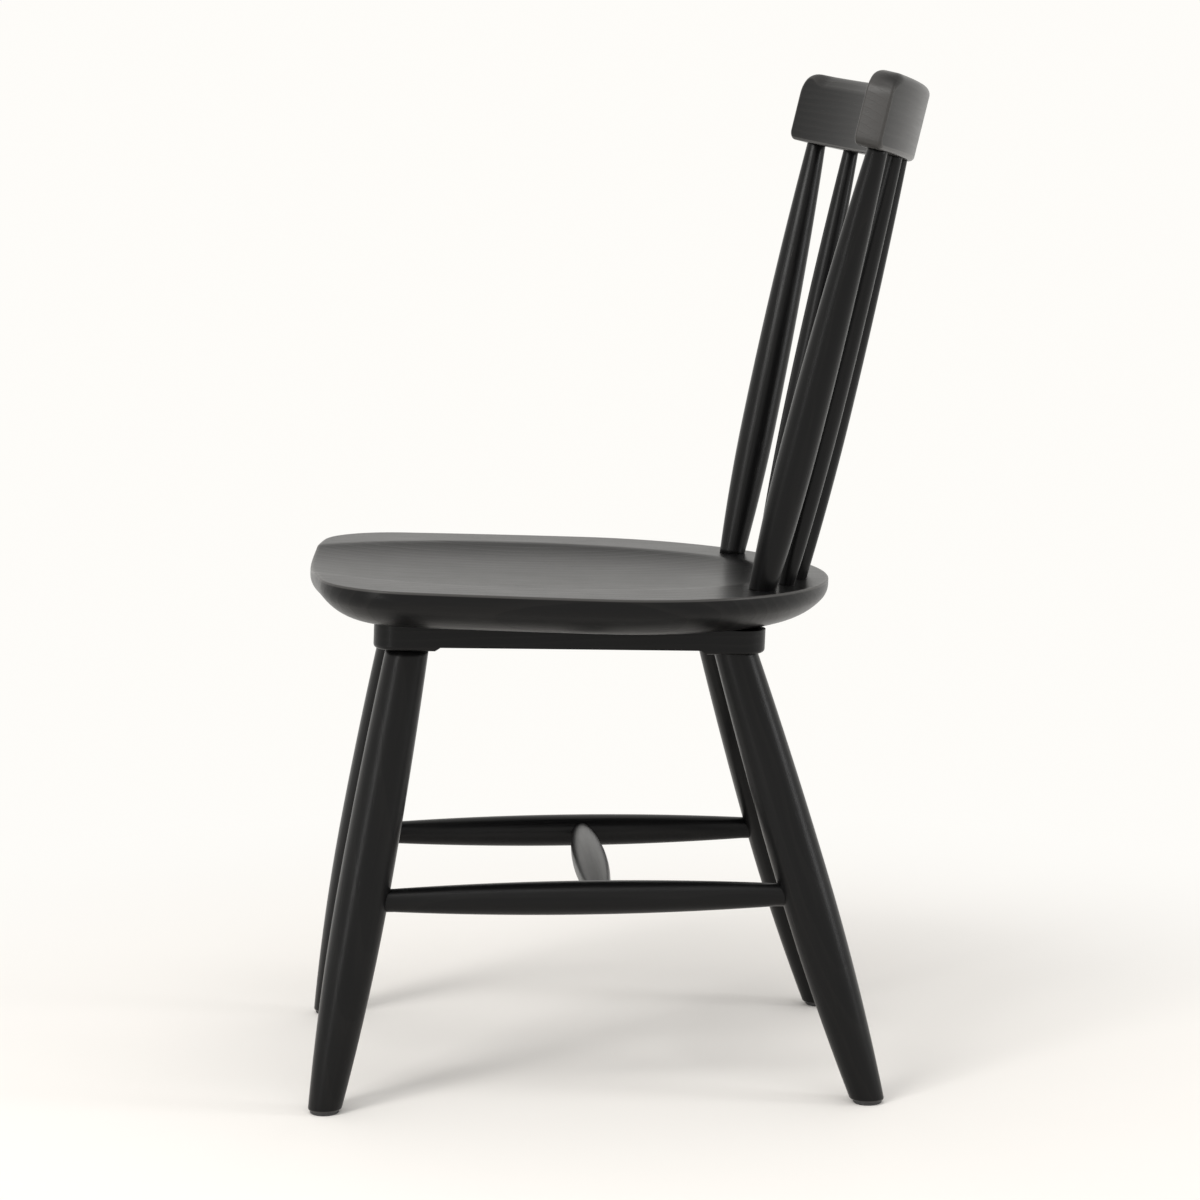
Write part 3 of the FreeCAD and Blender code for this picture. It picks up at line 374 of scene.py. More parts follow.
def seat_rim(sizes):
    """The seat's outline, anticlockwise from the middle of its left front corner."""
    rear, side, corner, front = (sizes.rear_radius, sizes.side_radius, sizes.corner_radius,
                                 sizes.front_radius)
    side_centre = Vector((rear - side, 0))
    front_centre = Vector((0, front - sizes.front))
    gap = front_centre - side_centre
    to_side, to_front = side - corner, front - corner
    along = (to_side ** 2 - to_front ** 2 + gap.length_squared) / (2 * gap.length)
    across = math.sqrt(to_side ** 2 - along ** 2)
    unit = gap.normalized()
    corner_centre = side_centre + unit * along + Vector((unit.y, -unit.x)) * across
    to_corner = corner_centre - side_centre
    from_front = corner_centre - front_centre
    side_angle = math.atan2(to_corner.y, to_corner.x)
    front_angle = math.atan2(from_front.y, from_front.x)
    half_corner = (side_angle + front_angle) / 2
    rear_turn = math.radians(45)
    right = (
        arc_points(front_centre, front, -math.pi / 2, front_angle, SEAT_FRONT_STEPS // 2)
        + arc_points(corner_centre, corner, front_angle, half_corner, SEAT_CORNER_STEPS // 2)
        + arc_points(corner_centre, corner, half_corner, side_angle, SEAT_CORNER_STEPS // 2)
        + arc_points(side_centre, side, side_angle, 0, SEAT_SIDE_STEPS)
        + arc_points(Vector((0, 0)), rear, 0, rear_turn, SEAT_REAR_STEPS // 2)
        + arc_points(Vector((0, 0)), rear, rear_turn, math.pi / 2,
                     SEAT_FRONT_STEPS // 2 + SEAT_CORNER_STEPS // 2)
    )
    rear_middle = (Vector((0, rear)), Vector((0, 1)))
    left = [(Vector((-spot.x, spot.y)), Vector((-normal.x, normal.y)))
            for spot, normal in reversed(right[1:])]
    whole = right + [rear_middle] + left
    start = len(whole) - SEAT_FRONT_STEPS // 2 - SEAT_CORNER_STEPS // 2
    return whole[start:] + whole[:start]


def seat_place(sizes):
    return Matrix.Translation(sizes.middle) @ Matrix.Rotation(-sizes.tilt, 4, "X")


def dish(sizes, x, y):
    """Depth of the saddle: a nearly flat bottom between soft walls, open at the front."""
    reach = math.hypot(x / sizes.dish_width, (y + sizes.dish_forward) / sizes.dish_length)
    wall = 1.0 - min(reach / DISH_REACH, 1.0) ** DISH_POWER
    return sizes.dish_depth * wall * eased(wall, *DISH_RISE)


def seat_rings(sizes):
    """From the top, over the arris and down the under-bevel, to the flat underside.

    A first ring lies on the top, so that the painted highlight along the arris fades out short of
    it.
    """
    arris = sizes.arris
    rings = [(arris * 2.5, 0.0, 0.15)]
    for part in range(SEAT_ARRIS_PARTS + 1):
        turn = math.radians(90 * part / SEAT_ARRIS_PARTS)
        rings.append((arris * (1 - math.sin(turn)), -arris * (1 - math.cos(turn)), 1.0))
    width, depth, small = sizes.bevel_width, sizes.bevel_depth, sizes.bevel_radius
    top = depth - sizes.thickness
    rings.append((0.0, -arris * 1.5, 0.0))
    rings.append((0.0, blend(-arris, top, 0.7), 0.0))
    large = (width ** 2 + depth ** 2 - 2 * width * small) / (2 * (depth - small))
    joint = math.atan2(depth - large, small - width)
    for part in range(SEAT_BEVEL_PARTS):
        turn = blend(math.pi, 2 * math.pi + joint, part / SEAT_BEVEL_PARTS)
        rings.append((small + small * math.cos(turn), top + small * math.sin(turn), 0.0))
    for part in range(SEAT_UNDER_PARTS + 1):
        turn = blend(joint, -math.pi / 2, part / SEAT_UNDER_PARTS)
        rings.append((width + large * math.cos(turn),
                      large - sizes.thickness + large * math.sin(turn), 0.0))
    return [lambda spot, normal, ring=ring: ring for ring in rings]


class CHAIR_OT_seat(Operator):
    """Thick seat with a saddled top and a rounded under-bevel"""

    bl_idname = "chair.seat"
    bl_label = "Seat"

    def execute(self, context):
        sizes = context.scene.chair_seat

        def shape(spot):
            weight = eased(spot.z + sizes.thickness, 0.0, sizes.thickness)
            return spot - Z_AXIS * dish(sizes, spot.x, spot.y) * weight

        def wood(spot):
            return Vector((spot.x, spot.z, spot.y))

        across = SEAT_FRONT_STEPS + SEAT_CORNER_STEPS
        up = SEAT_CORNER_STEPS // 2 + SEAT_SIDE_STEPS + SEAT_REAR_STEPS // 2
        board("painted_seat", seat_place(sizes), seat_rim(sizes), across, up, seat_rings(sizes),
              shape, wood, paint("black_paint_on_seat"), "seat")
        return {"FINISHED"}


# Legs and stretchers


# A round figure for the square of how far a leg's top lies to the side of its foot.
LEG_RUN_SQUARED = 0.0055
# How far a leg goes up into its rail.
LEG_SUNK = 0.006


def floor_point(sizes, x, y, z):
    return Vector((x, y - sizes.forward, z))


class Leg:
    """Where one leg stands."""

    def __init__(self, end, sign):
        sizes = bpy.context.scene.chair_legs
        back = -1 if end == "front" else 1
        foot = sizes.front_foot if end == "front" else sizes.rear_foot
        top = sizes.front_top if end == "front" else sizes.rear_top
        self.foot = floor_point(sizes, sign * sizes.foot_side, back * foot, 0)
        self.top = floor_point(sizes, sign * sizes.top_side, back * top, sizes.top_height)

    def at_height(self, height):
        return self.foot.lerp(self.top, height / self.top.z)


def leg_radius(sizes, along):
    if along < sizes.belly_height:
        return swell(along, 0.0, sizes.belly_height, sizes.foot_radius, sizes.belly_radius, True)
    end = (sizes.top_height ** 2 + LEG_RUN_SQUARED) ** 0.5
    return swell(along, sizes.belly_height, end, sizes.top_radius, sizes.belly_radius, False)


def cut_by(where, plane_point, plane_normal, radius):
    """Where a plane cuts each line down the side of a turned piece, in the piece's frame."""
    inverse = where.inverted()
    spot = inverse @ plane_point
    normal = inverse.to_3x3() @ plane_normal

    def height(way):
        guess = spot.z
        for _ in range(3):
            side = way * radius(guess)
            guess = spot.z - (normal.x * (side.x - spot.x) + normal.y * (side.y - spot.y)) / normal.z
        return guess

    return height


class CHAIR_OT_legs(Operator):
    """Four turned legs, swelled above the stretchers"""

    bl_idname = "chair.legs"
    bl_label = "Legs"

    def execute(self, context):
        sizes = context.scene.chair_legs
        material = paint("black_paint_on_turnings")
        low = min(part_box(node)[0].z for node in ("left_seat_rail", "right_seat_rail"))
        for count, (end, side, sign) in enumerate(LEGS):
            leg = Leg(end, sign)
            where = frame_along(leg.foot, leg.top)

            def radius(along):
                return leg_radius(sizes, along)

            foot = cut_by(where, Vector((0, 0, sizes.glide)), Z_AXIS, radius)
            top = cut_by(where, Vector((0, 0, low + LEG_SUNK)), Z_AXIS, radius)
            node = "%s_%s_leg" % (end, side)
            turned("painted_" + node, where, radius, foot, top, material, node,
                   seed=0.31 * (count + 1), easing=sizes.easing)
        return {"FINISHED"}


def level_cut(height):
    return lambda way: height


def necked(along, total, neck, end, belly):
    """Radius of a stretcher: straight ends and a swelled middle."""
    nearest = min(along, total - along)
    if nearest < neck:
        return end
    return swell(nearest, neck, total / 2, end, belly, True)


class CHAIR_OT_stretchers(Operator):
    """Two side stretchers and the cross stretcher between them"""

    bl_idname = "chair.stretchers"
    bl_label = "Stretchers"

    def execute(self, context):
        sizes = context.scene.chair_stretchers
        material = paint("black_paint_on_turnings")
        for count, (side, sign) in enumerate(SIDES):
            front = Leg("front", sign).at_height(sizes.height)
            rear = Leg("rear", sign).at_height(sizes.height)
            total = (rear - front).length - 2 * sizes.inset
            where = frame_along(front, rear) @ Matrix.Translation((0, 0, sizes.inset))
            node = side + "_side_stretcher"
            turned("painted_" + node, where,
                   lambda along: necked(along, total, sizes.neck, sizes.end_radius,
                                        sizes.belly_radius),
                   level_cut(0.0), level_cut(total), material, node, seed=1.7 + 0.4 * count,
                   steps=80)
        reach = Leg("front", 1).at_height(sizes.height).x
        legs = context.scene.chair_legs
        right = floor_point(legs, -reach, -sizes.cross_forward, sizes.height)
        left = floor_point(legs, reach, -sizes.cross_forward, sizes.height)
        total = 2 * reach - 2 * sizes.cross_inset
        where = frame_along(right, left, Z_AXIS) @ Matrix.Translation((0, 0, sizes.cross_inset))
        turned("painted_cross_stretcher", where,
               lambda along: necked(along, total, sizes.cross_neck, sizes.cross_end_radius,
                                    sizes.cross_belly_radius),
               level_cut(0.0), level_cut(total), material, "cross_stretcher", seed=2.9)
        return {"FINISHED"}


# Back


# How far an upright's ends go into the seat and the crest rail.
UPRIGHT_SUNK = 0.004
UPRIGHTS = (
    ("left_back_post", 3),
    ("outer_left_spindle", 2),
    ("inner_left_spindle", 1),
    ("centre_spindle", 0),
    ("inner_right_spindle", -1),
    ("outer_right_spindle", -2),
    ("right_back_post", -3),
)


def crest_place(sizes):
    return Matrix.Translation(sizes.middle) @ Matrix.Rotation(-sizes.lean, 4, "X")


class CHAIR_OT_uprights(Operator):
    """Two posts and five spindles between the seat and the crest rail"""

    bl_idname = "chair.uprights"
    bl_label = "Posts and Spindles"

    def execute(self, context):
        sizes = context.scene.chair_back
        seat = seat_place(context.scene.chair_seat)
        crest = crest_place(sizes)
        material = paint("black_paint_on_turnings")
        for node, number in UPRIGHTS:
            foot_turn = number * sizes.seat_step
            top_turn = number * sizes.crest_step
            foot = seat @ Vector((sizes.circle * math.sin(foot_turn),
                                  sizes.circle * math.cos(foot_turn), 0))
            top = crest @ Vector((sizes.bend * math.sin(top_turn),
                                  sizes.bend * (math.cos(top_turn) - 1), 0))
            total = (top - foot).length
            post = node.endswith("post")
            thin, thick, tip = (
                (sizes.post_seat, sizes.post_belly, sizes.post_crest) if post
                else (sizes.spindle_seat, sizes.spindle_belly, sizes.spindle_crest)
            )
            belly = total * (sizes.post_share if post else sizes.spindle_share)

            def radius(along):
                if along < belly:
                    return swell(along, 0.0, belly, thin, thick, True)
                return swell(along, belly, total, tip, thick, False)

            turned("painted_" + node, frame_along(foot, top), radius, level_cut(-UPRIGHT_SUNK),
                   level_cut(total + UPRIGHT_SUNK), material, node, seed=4.0 + 0.37 * number,
                   steps=72)
        return {"FINISHED"}


CREST_ACROSS = 120
CREST_UP = 26
CREST_CORNER = 10
CREST_ARRIS_PARTS = 8
# Radii of the crest rail's arrises.
CREST_FRONT_ARRIS = 0.0022
CREST_END_BACK_ARRIS = 0.0024
CREST_TOP_BACK_ARRIS = 0.0075
CREST_LOW_BACK_ARRIS = 0.0040
# Insets and depths of the roll along the top of the front face.
CREST_ROLL = (
    (0.0120, 0.0), (0.0108, 0.0003), (0.0095, 0.0010), (0.0075, 0.0022), (0.0052, 0.0037),
    (0.0032, 0.0052), (0.0016, 0.0069), (0.0005, 0.0088), (0.0, 0.0108),
)
# The roll grows between these distances from the rail's end.
CREST_ROLL_GROWS = (0.004, 0.038)
# An edge counts as an end below the first slope of its normal and as level above the second.
CREST_END_TO_LEVEL = (0.15, 0.95)
# How much fainter the painted highlight along the arris is on the top edge.
CREST_TOP_FAINTER = 0.6


def crest_rim(half, depth, low_corner, top_corner):
    """The crest rail's outline before it is bent, from the middle of its lower left corner."""
    low = Vector((half - low_corner, low_corner))
    top = Vector((half - top_corner, depth - top_corner))
    left_low = Vector((-low.x, low.y))
    left_top = Vector((-top.x, top.y))
    quarter = math.pi / 4
    steps = CREST_CORNER // 2
    straight = CREST_ACROSS - 2 * steps
    rise = CREST_UP - 2 * steps
    down, right, up, left = Vector((0, -1)), Vector((1, 0)), Vector((0, 1)), Vector((-1, 0))
    return (
        arc_points(left_low, low_corner, -3 * quarter, -2 * quarter, steps)
        + line_points(left_low + down * low_corner, low + down * low_corner, down, straight)
        + arc_points(low, low_corner, -2 * quarter, -quarter, steps)
        + arc_points(low, low_corner, -quarter, 0, steps)
        + line_points(low + right * low_corner, top + right * top_corner, right, rise)
        + arc_points(top, top_corner, 0, quarter, steps)
        + arc_points(top, top_corner, quarter, 2 * quarter, steps)
        + line_points(top + up * top_corner, left_top + up * top_corner, up, straight)
        + arc_points(left_top, top_corner, 2 * quarter, 3 * quarter, steps)
        + arc_points(left_top, top_corner, 3 * quarter, 4 * quarter, steps)
        + line_points(left_top + left * top_corner, left_low + left * low_corner, left, rise)
        + arc_points(left_low, low_corner, 4 * quarter, 5 * quarter, steps)
    )


def round_over(radius):
    """Insets and depths of a rounded arris, from the face to the edge."""
    steps = [math.radians(90 * part / CREST_ARRIS_PARTS) for part in range(CREST_ARRIS_PARTS + 1)]
    return [(radius * (1 - math.sin(turn)), radius * (1 - math.cos(turn))) for turn in steps]


def crest_rings(half, thickness):
    """From the front face over the edge to the back face: the top front is rolled back."""
    end_front = round_over(CREST_FRONT_ARRIS)
    end_back = round_over(CREST_END_BACK_ARRIS)[::-1]
    top_back = round_over(CREST_TOP_BACK_ARRIS)[::-1]
    low_back = round_over(CREST_LOW_BACK_ARRIS)[::-1]

    def ring(end, top, low, from_front):
        def at(spot, normal):
            upness = eased(normal.y, *CREST_END_TO_LEVEL)
            if from_front:
                upness *= eased(half - abs(spot.x), *CREST_ROLL_GROWS)
            downness = eased(-normal.y, *CREST_END_TO_LEVEL)
            inset, depth = (
                at_end + (at_top - at_end) * upness + (at_low - at_end) * downness
                for at_end, at_top, at_low in zip(end, top, low)
            )
            height = depth - thickness / 2 if from_front else thickness / 2 - depth
            # The third value is the share of painted highlight along the arris, fainter on the top
            # edge.
            return inset, height, 1.0 - CREST_TOP_FAINTER * upness
        return at

    rings = [ring(end, top, end, True) for end, top in zip(end_front, CREST_ROLL)]
    rings += [ring(end, top, low, False) for end, top, low in zip(end_back, top_back, low_back)]
    return rings


class CHAIR_OT_crest_rail(Operator):
    """Bent crest rail with rounded corners and a rolled top edge"""

    bl_idname = "chair.crest_rail"
    bl_label = "Crest Rail"

    def execute(self, context):
        sizes = context.scene.chair_back
        reach = math.asin(sizes.half_width / (sizes.bend + sizes.thickness / 2))
        half = reach * sizes.bend

        def shape(spot):
            turn = spot.x / sizes.bend
            radius = sizes.bend + spot.z
            return Vector((radius * math.sin(turn), radius * math.cos(turn) - sizes.bend, spot.y))

        def wood(spot):
            return Vector((spot.y, spot.z, spot.x))

        rim = crest_rim(half, sizes.depth, sizes.low_corner, sizes.top_corner)
        board("painted_crest_rail", crest_place(sizes), rim, CREST_ACROSS, CREST_UP,
              crest_rings(half, sizes.thickness), shape, wood, paint("black_paint_on_crest"),
              "crest_rail")
        return {"FINISHED"}


# Seat rails, glides and fasteners keep their solid shapes


def refinish(node, material):
    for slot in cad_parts[node].material_slots:
        slot.material = material


class CHAIR_OT_seat_rails(Operator):
    """Two rails under the seat, with a boss over each leg"""

    bl_idname = "chair.seat_rails"
    bl_label = "Seat Rails"

    def execute(self, context):
        material = paint("black_paint_on_rails")
        for side, _ in SIDES:
            refinish(side + "_seat_rail", material)
        return {"FINISHED"}


class CHAIR_OT_fittings(Operator):
    """Glides under the feet, and the nails and screws"""

    bl_idname = "chair.fittings"
    bl_label = "Glides, Nails and Screws"

    def execute(self, context):
        plastic = glide_plastic()
        steel = zinc_steel()
        for end, side, _ in LEGS:
            refinish("%s_%s_glide" % (end, side), plastic)
        refinish("glide_nails", steel)
        refinish("seat_rail_screws", steel)
        return {"FINISHED"}


# Finishes


def link(tree, source, target):
    tree.links.new(source, target)


def add_node(tree, kind, spot, **settings):
    node = tree.nodes.new(kind)
    node.location = spot
    for name, value in settings.items():
        setattr(node, name, value)
    return node


def calculate(tree, operation, first, second, spot):
    """A Math node. Each value is a socket or a number."""
    node = add_node(tree, "ShaderNodeMath", spot, operation=operation)
    for index, value in enumerate((first, second)):
        if isinstance(value, (int, float)):
            node.inputs[index].default_value = value
        elif value is not None:
            link(tree, value, node.inputs[index])
    return node.outputs[0]


def ramp_between(tree, value, low, high, spot):
    node = add_node(tree, "ShaderNodeMapRange", spot, interpolation_type="SMOOTHSTEP")
    node.inputs["From Min"].default_value = low
    node.inputs["From Max"].default_value = high
    link(tree, value, node.inputs["Value"])
    return node.outputs["Result"]


def stretched(tree, vector, scale, spot):
    node = add_node(tree, "ShaderNodeMapping", spot)
    node.inputs["Scale"].default_value = scale
    link(tree, vector, node.inputs["Vector"])
    return node.outputs["Vector"]


def noise(tree, vector, spot, scale, detail, roughness, distortion=0.0):
    node = add_node(tree, "ShaderNodeTexNoise", spot)
    node.inputs["Scale"].default_value = scale
    node.inputs["Detail"].default_value = detail
    node.inputs["Roughness"].default_value = roughness
    node.inputs["Distortion"].default_value = distortion
    link(tree, vector, node.inputs["Vector"])
    return node.outputs["Fac"]


def new_group(name, inputs, outputs):
    """A shader node group with its named sockets; an input is a name, a kind and a default."""
    tree = bpy.data.node_groups.new(name, "ShaderNodeTree")
    for label, kind, default in inputs:
        socket = tree.interface.new_socket(label, in_out="INPUT", socket_type=kind)
        if default is not None:
            socket.default_value = default
    for label, kind in outputs:
        tree.interface.new_socket(label, in_out="OUTPUT", socket_type=kind)
    given = add_node(tree, "NodeGroupInput", (-1200, 0))
    result = add_node(tree, "NodeGroupOutput", (900, 0))
    return tree, given, result


def wood_grain_group():
    """Streaks, growth rings and pores of wood whose grain runs along Z."""
    name = "Wood Grain"
    if name in bpy.data.node_groups:
        return bpy.data.node_groups[name]
    tree, given, result = new_group(
        name,
        [("Vector", "NodeSocketVector", None),
         ("Ring Spacing", "NodeSocketFloat", 0.006),
         ("Heart", "NodeSocketVector", (0.05, 0.12, 0.0))],
        [("Streaks", "NodeSocketFloat"), ("Rings", "NodeSocketFloat"),
         ("Pores", "NodeSocketFloat")],
    )
    vector = given.outputs["Vector"]
    streaks = noise(tree, stretched(tree, vector, (1, 1, 0.045), (-900, 300)), (-650, 300),
                    scale=210, detail=5, roughness=0.62, distortion=0.4)
    wander = noise(tree, stretched(tree, vector, (1, 1, 0.35), (-900, 0)), (-650, 0),
                   scale=9, detail=3, roughness=0.5)
    offset = add_node(tree, "ShaderNodeVectorMath", (-900, -200), operation="SUBTRACT")
    link(tree, vector, offset.inputs[0])
    link(tree, given.outputs["Heart"], offset.inputs[1])
    flat = add_node(tree, "ShaderNodeVectorMath", (-700, -200), operation="MULTIPLY")
    flat.inputs[1].default_value = (1, 1, 0.09)
    link(tree, offset.outputs[0], flat.inputs[0])
    away = add_node(tree, "ShaderNodeVectorMath", (-500, -200), operation="LENGTH")
    link(tree, flat.outputs[0], away.inputs[0])
    wandered = calculate(tree, "ADD", away.outputs["Value"],
                         calculate(tree, "MULTIPLY", wander, 0.03, (-400, 0)), (-300, -100))
    turns = calculate(tree, "DIVIDE", wandered, given.outputs["Ring Spacing"], (-100, -100))
    saw = calculate(tree, "FRACT", turns, None, (80, -100))
    late = ramp_between(tree, saw, 0.45, 0.95, (250, -100))
    early = calculate(tree, "SUBTRACT", 1.0, ramp_between(tree, saw, 0.96, 1.0, (250, -300)),
                      (430, -300))
    pores = noise(tree, stretched(tree, vector, (1, 1, 0.05), (-900, 600)), (-650, 600),
                  scale=900, detail=2, roughness=0.5)
    link(tree, streaks, result.inputs["Streaks"])
    link(tree, calculate(tree, "MULTIPLY", late, early, (600, -100)), result.inputs["Rings"])
    link(tree, ramp_between(tree, pores, 0.60, 0.74, (-400, 600)), result.inputs["Pores"])
    return tree


def film_group():
    """The soft unevenness that a sprayed film or a moulding has."""
    name = "Film"
    if name in bpy.data.node_groups:
        return bpy.data.node_groups[name]
    tree, given, result = new_group(
        name,
        [("Vector", "NodeSocketVector", None), ("Scale", "NodeSocketFloat", 380.0)],
        [("Peel", "NodeSocketFloat"), ("Clouds", "NodeSocketFloat")],
    )
    peel = add_node(tree, "ShaderNodeTexNoise", (-400, 200))
    peel.inputs["Detail"].default_value = 2.0
    link(tree, given.outputs["Vector"], peel.inputs["Vector"])
    link(tree, given.outputs["Scale"], peel.inputs["Scale"])
    clouds = noise(tree, given.outputs["Vector"], (-400, -200), scale=14, detail=3,
                   roughness=0.55)
    link(tree, peel.outputs["Fac"], result.inputs["Peel"])
    link(tree, clouds, result.inputs["Clouds"])
    return tree


def add_group(tree, group, spot):
    node = add_node(tree, "ShaderNodeGroup", spot)
    node.node_tree = group
    return node


def new_material(name):
    material = bpy.data.materials.new(name)
    material.use_nodes = True
    tree = material.node_tree
    return material, tree, tree.nodes["Principled BSDF"]


def mixed(tree, amount, first, second, spot):
    """A mix of two colours. The first is a socket or a colour."""
    node = add_node(tree, "ShaderNodeMix", spot, data_type="RGBA")
    link(tree, amount, node.inputs["Factor"])
    if isinstance(first, bpy.types.NodeSocket):
        link(tree, first, node.inputs["A"])
    else:
        node.inputs["A"].default_value = (*first, 1)
    node.inputs["B"].default_value = (*second, 1)
    return node.outputs["Result"]


def add_bump(tree, shader, height, strength, distance, spot):
    bump = add_node(tree, "ShaderNodeBump", spot)
    bump.inputs["Strength"].default_value = strength
    bump.inputs["Distance"].default_value = distance
    link(tree, height, bump.inputs["Height"])
    link(tree, bump.outputs["Normal"], shader.inputs["Normal"])


PAINTS = {
    "black_paint_on_seat": {"rings": 0.0085, "heart": (0.04, 0.11, 0.1), "ringed": 0.5},
    "black_paint_on_crest": {"rings": 0.0060, "heart": (0.42, 0.10, 0.4), "ringed": 0.6},
    "black_paint_on_turnings": {"rings": 0.0070, "heart": (0.30, 0.20, 0.5), "ringed": 0.25},
    "black_paint_on_rails": {"rings": 0.0070, "heart": (0.05, 0.08, 0.0), "ringed": 0.35},
}
# What the streaks, the pores and the peel of the film add to the relief of the paint.
STREAK_RELIEF = 0.9
PORE_RELIEF = 0.35
PEEL_RELIEF = 0.12
BUMP_STRENGTH = 0.35
# The paint thins out as the relief rises between these two, by this share at most.
THIN_RELIEF = (0.35, 1.1)
THIN_SHARE = 0.55
# How narrow and how strong the painted highlight along an arris is.
HIGHLIGHT_POWER = 2.0
HIGHLIGHT_SHARE = 0.8
# What the streaks and the clouds of the film add to the roughness.
STREAK_DULLNESS = 0.10
CLOUD_DULLNESS = 0.07


def paint(name):
    """Satin black paint over close-grained wood, made once for each kind of board."""
    if name in bpy.data.materials:
        return bpy.data.materials[name]
    sizes = bpy.context.scene.chair_paint
    look = PAINTS[name]
    material, tree, shader = new_material(name)
    if name == "black_paint_on_rails":
        spot = add_node(tree, "ShaderNodeTexCoord", (-1500, 0))
        turn = add_node(tree, "ShaderNodeMapping", (-1300, 0))
        turn.inputs["Rotation"].default_value = (math.pi / 2, 0, 0)
        link(tree, spot.outputs["Object"], turn.inputs["Vector"])
        vector = turn.outputs["Vector"]
        arris_highlight_mask = None
    else:
        vector = add_node(tree, "ShaderNodeAttribute", (-1300, 0),
                          attribute_name="wood").outputs["Vector"]
        # The arris attribute is the mask of the painted highlight along the edges.
        arris_highlight_mask = add_node(tree, "ShaderNodeAttribute", (-1300, -300),
                              attribute_name="arris").outputs["Fac"]
    grain = add_group(tree, wood_grain_group(), (-1050, 100))
    link(tree, vector, grain.inputs["Vector"])
    grain.inputs["Ring Spacing"].default_value = look["rings"]
    grain.inputs["Heart"].default_value = look["heart"]
    film = add_group(tree, film_group(), (-1050, -200))
    link(tree, vector, film.inputs["Vector"])
    ringed = calculate(tree, "MULTIPLY", grain.outputs["Rings"], look["ringed"], (-800, 200))
    streaky = calculate(tree, "MULTIPLY", grain.outputs["Streaks"], STREAK_RELIEF, (-800, 50))
    relief = calculate(tree, "ADD", ringed, streaky, (-620, 150))
    thin = calculate(tree, "MULTIPLY", ramp_between(tree, relief, *THIN_RELIEF, (-450, 250)),
                     THIN_SHARE, (-280, 250))
    painted = mixed(tree, thin, sizes.colour, sizes.thin, (-100, 300))
    # Along the arrises the base colour is lightened into a painted highlight.
    if arris_highlight_mask:
        narrow = calculate(tree, "POWER", arris_highlight_mask, HIGHLIGHT_POWER, (-300, 50))
        painted_highlight = calculate(tree, "MULTIPLY", narrow, HIGHLIGHT_SHARE, (-100, 50))
        painted = mixed(tree, painted_highlight, painted, sizes.edge, (80, 300))
    link(tree, painted, shader.inputs["Base Color"])
    dull = calculate(tree, "MULTIPLY", grain.outputs["Streaks"], STREAK_DULLNESS, (-450, -100))
    patchy = calculate(tree, "MULTIPLY", film.outputs["Clouds"], CLOUD_DULLNESS, (-450, -250))
    uneven = calculate(tree, "ADD", dull, patchy, (-280, -150))
    smoothest = sizes.roughness - (STREAK_DULLNESS + CLOUD_DULLNESS) / 2
    link(tree, calculate(tree, "ADD", uneven, smoothest, (-100, -150)),
         shader.inputs["Roughness"])
    shader.inputs["Specular IOR Level"].default_value = sizes.gloss
    pitted = calculate(tree, "MULTIPLY", grain.outputs["Pores"], PORE_RELIEF, (-450, -400))
    sunk = calculate(tree, "SUBTRACT", relief, pitted, (-280, -400))
    peel = calculate(tree, "MULTIPLY", film.outputs["Peel"], PEEL_RELIEF, (-450, -550))
    height = calculate(tree, "ADD", sunk, peel, (-100, -400))
    add_bump(tree, shader, height, BUMP_STRENGTH, sizes.grain, (60, -350))
    return material


def glide_plastic():
    """Moulded plastic, matt, with a fine even texture."""
    sizes = bpy.context.scene.chair_paint
    material, tree, shader = new_material("black_glide_plastic")
    spot = add_node(tree, "ShaderNodeTexCoord", (-900, 0))
    film = add_group(tree, film_group(), (-650, 0))
    film.inputs["Scale"].default_value = 1800.0
    link(tree, spot.outputs["Object"], film.inputs["Vector"])
    clouds = film.outputs["Clouds"]
    paler = [part * 1.6 for part in sizes.plastic]
    link(tree, mixed(tree, clouds, sizes.plastic, paler, (-300, 200)),
         shader.inputs["Base Color"])
    patchy = calculate(tree, "MULTIPLY", clouds, 0.15, (-450, 0))
    link(tree, calculate(tree, "ADD", patchy, 0.45, (-280, 0)), shader.inputs["Roughness"])
    add_bump(tree, shader, film.outputs["Peel"], 0.3, 0.0001, (-250, -250))
    return material


def zinc_steel():
    """Zinc plated steel, with the faint crystals of the plating."""
    sizes = bpy.context.scene.chair_paint
    material, tree, shader = new_material("zinc_plated_steel")
    shader.inputs["Metallic"].default_value = 1.0
    spot = add_node(tree, "ShaderNodeTexCoord", (-900, 0))
    crystal = add_node(tree, "ShaderNodeTexVoronoi", (-700, 100))
    crystal.inputs["Scale"].default_value = 1400.0
    link(tree, spot.outputs["Object"], crystal.inputs["Vector"])
    darker = [part * 0.8 for part in sizes.steel]
    link(tree, mixed(tree, crystal.outputs["Distance"], sizes.steel, darker, (-300, 200)),
         shader.inputs["Base Color"])
    film = add_group(tree, film_group(), (-650, -150))
    film.inputs["Scale"].default_value = 900.0
    link(tree, spot.outputs["Object"], film.inputs["Vector"])
    dull = calculate(tree, "MULTIPLY", film.outputs["Peel"], 0.2, (-450, -100))
    link(tree, calculate(tree, "ADD", dull, 0.25, (-280, -100)), shader.inputs["Roughness"])
    return material


# Stage


FLOOR_RADIUS = 40.0
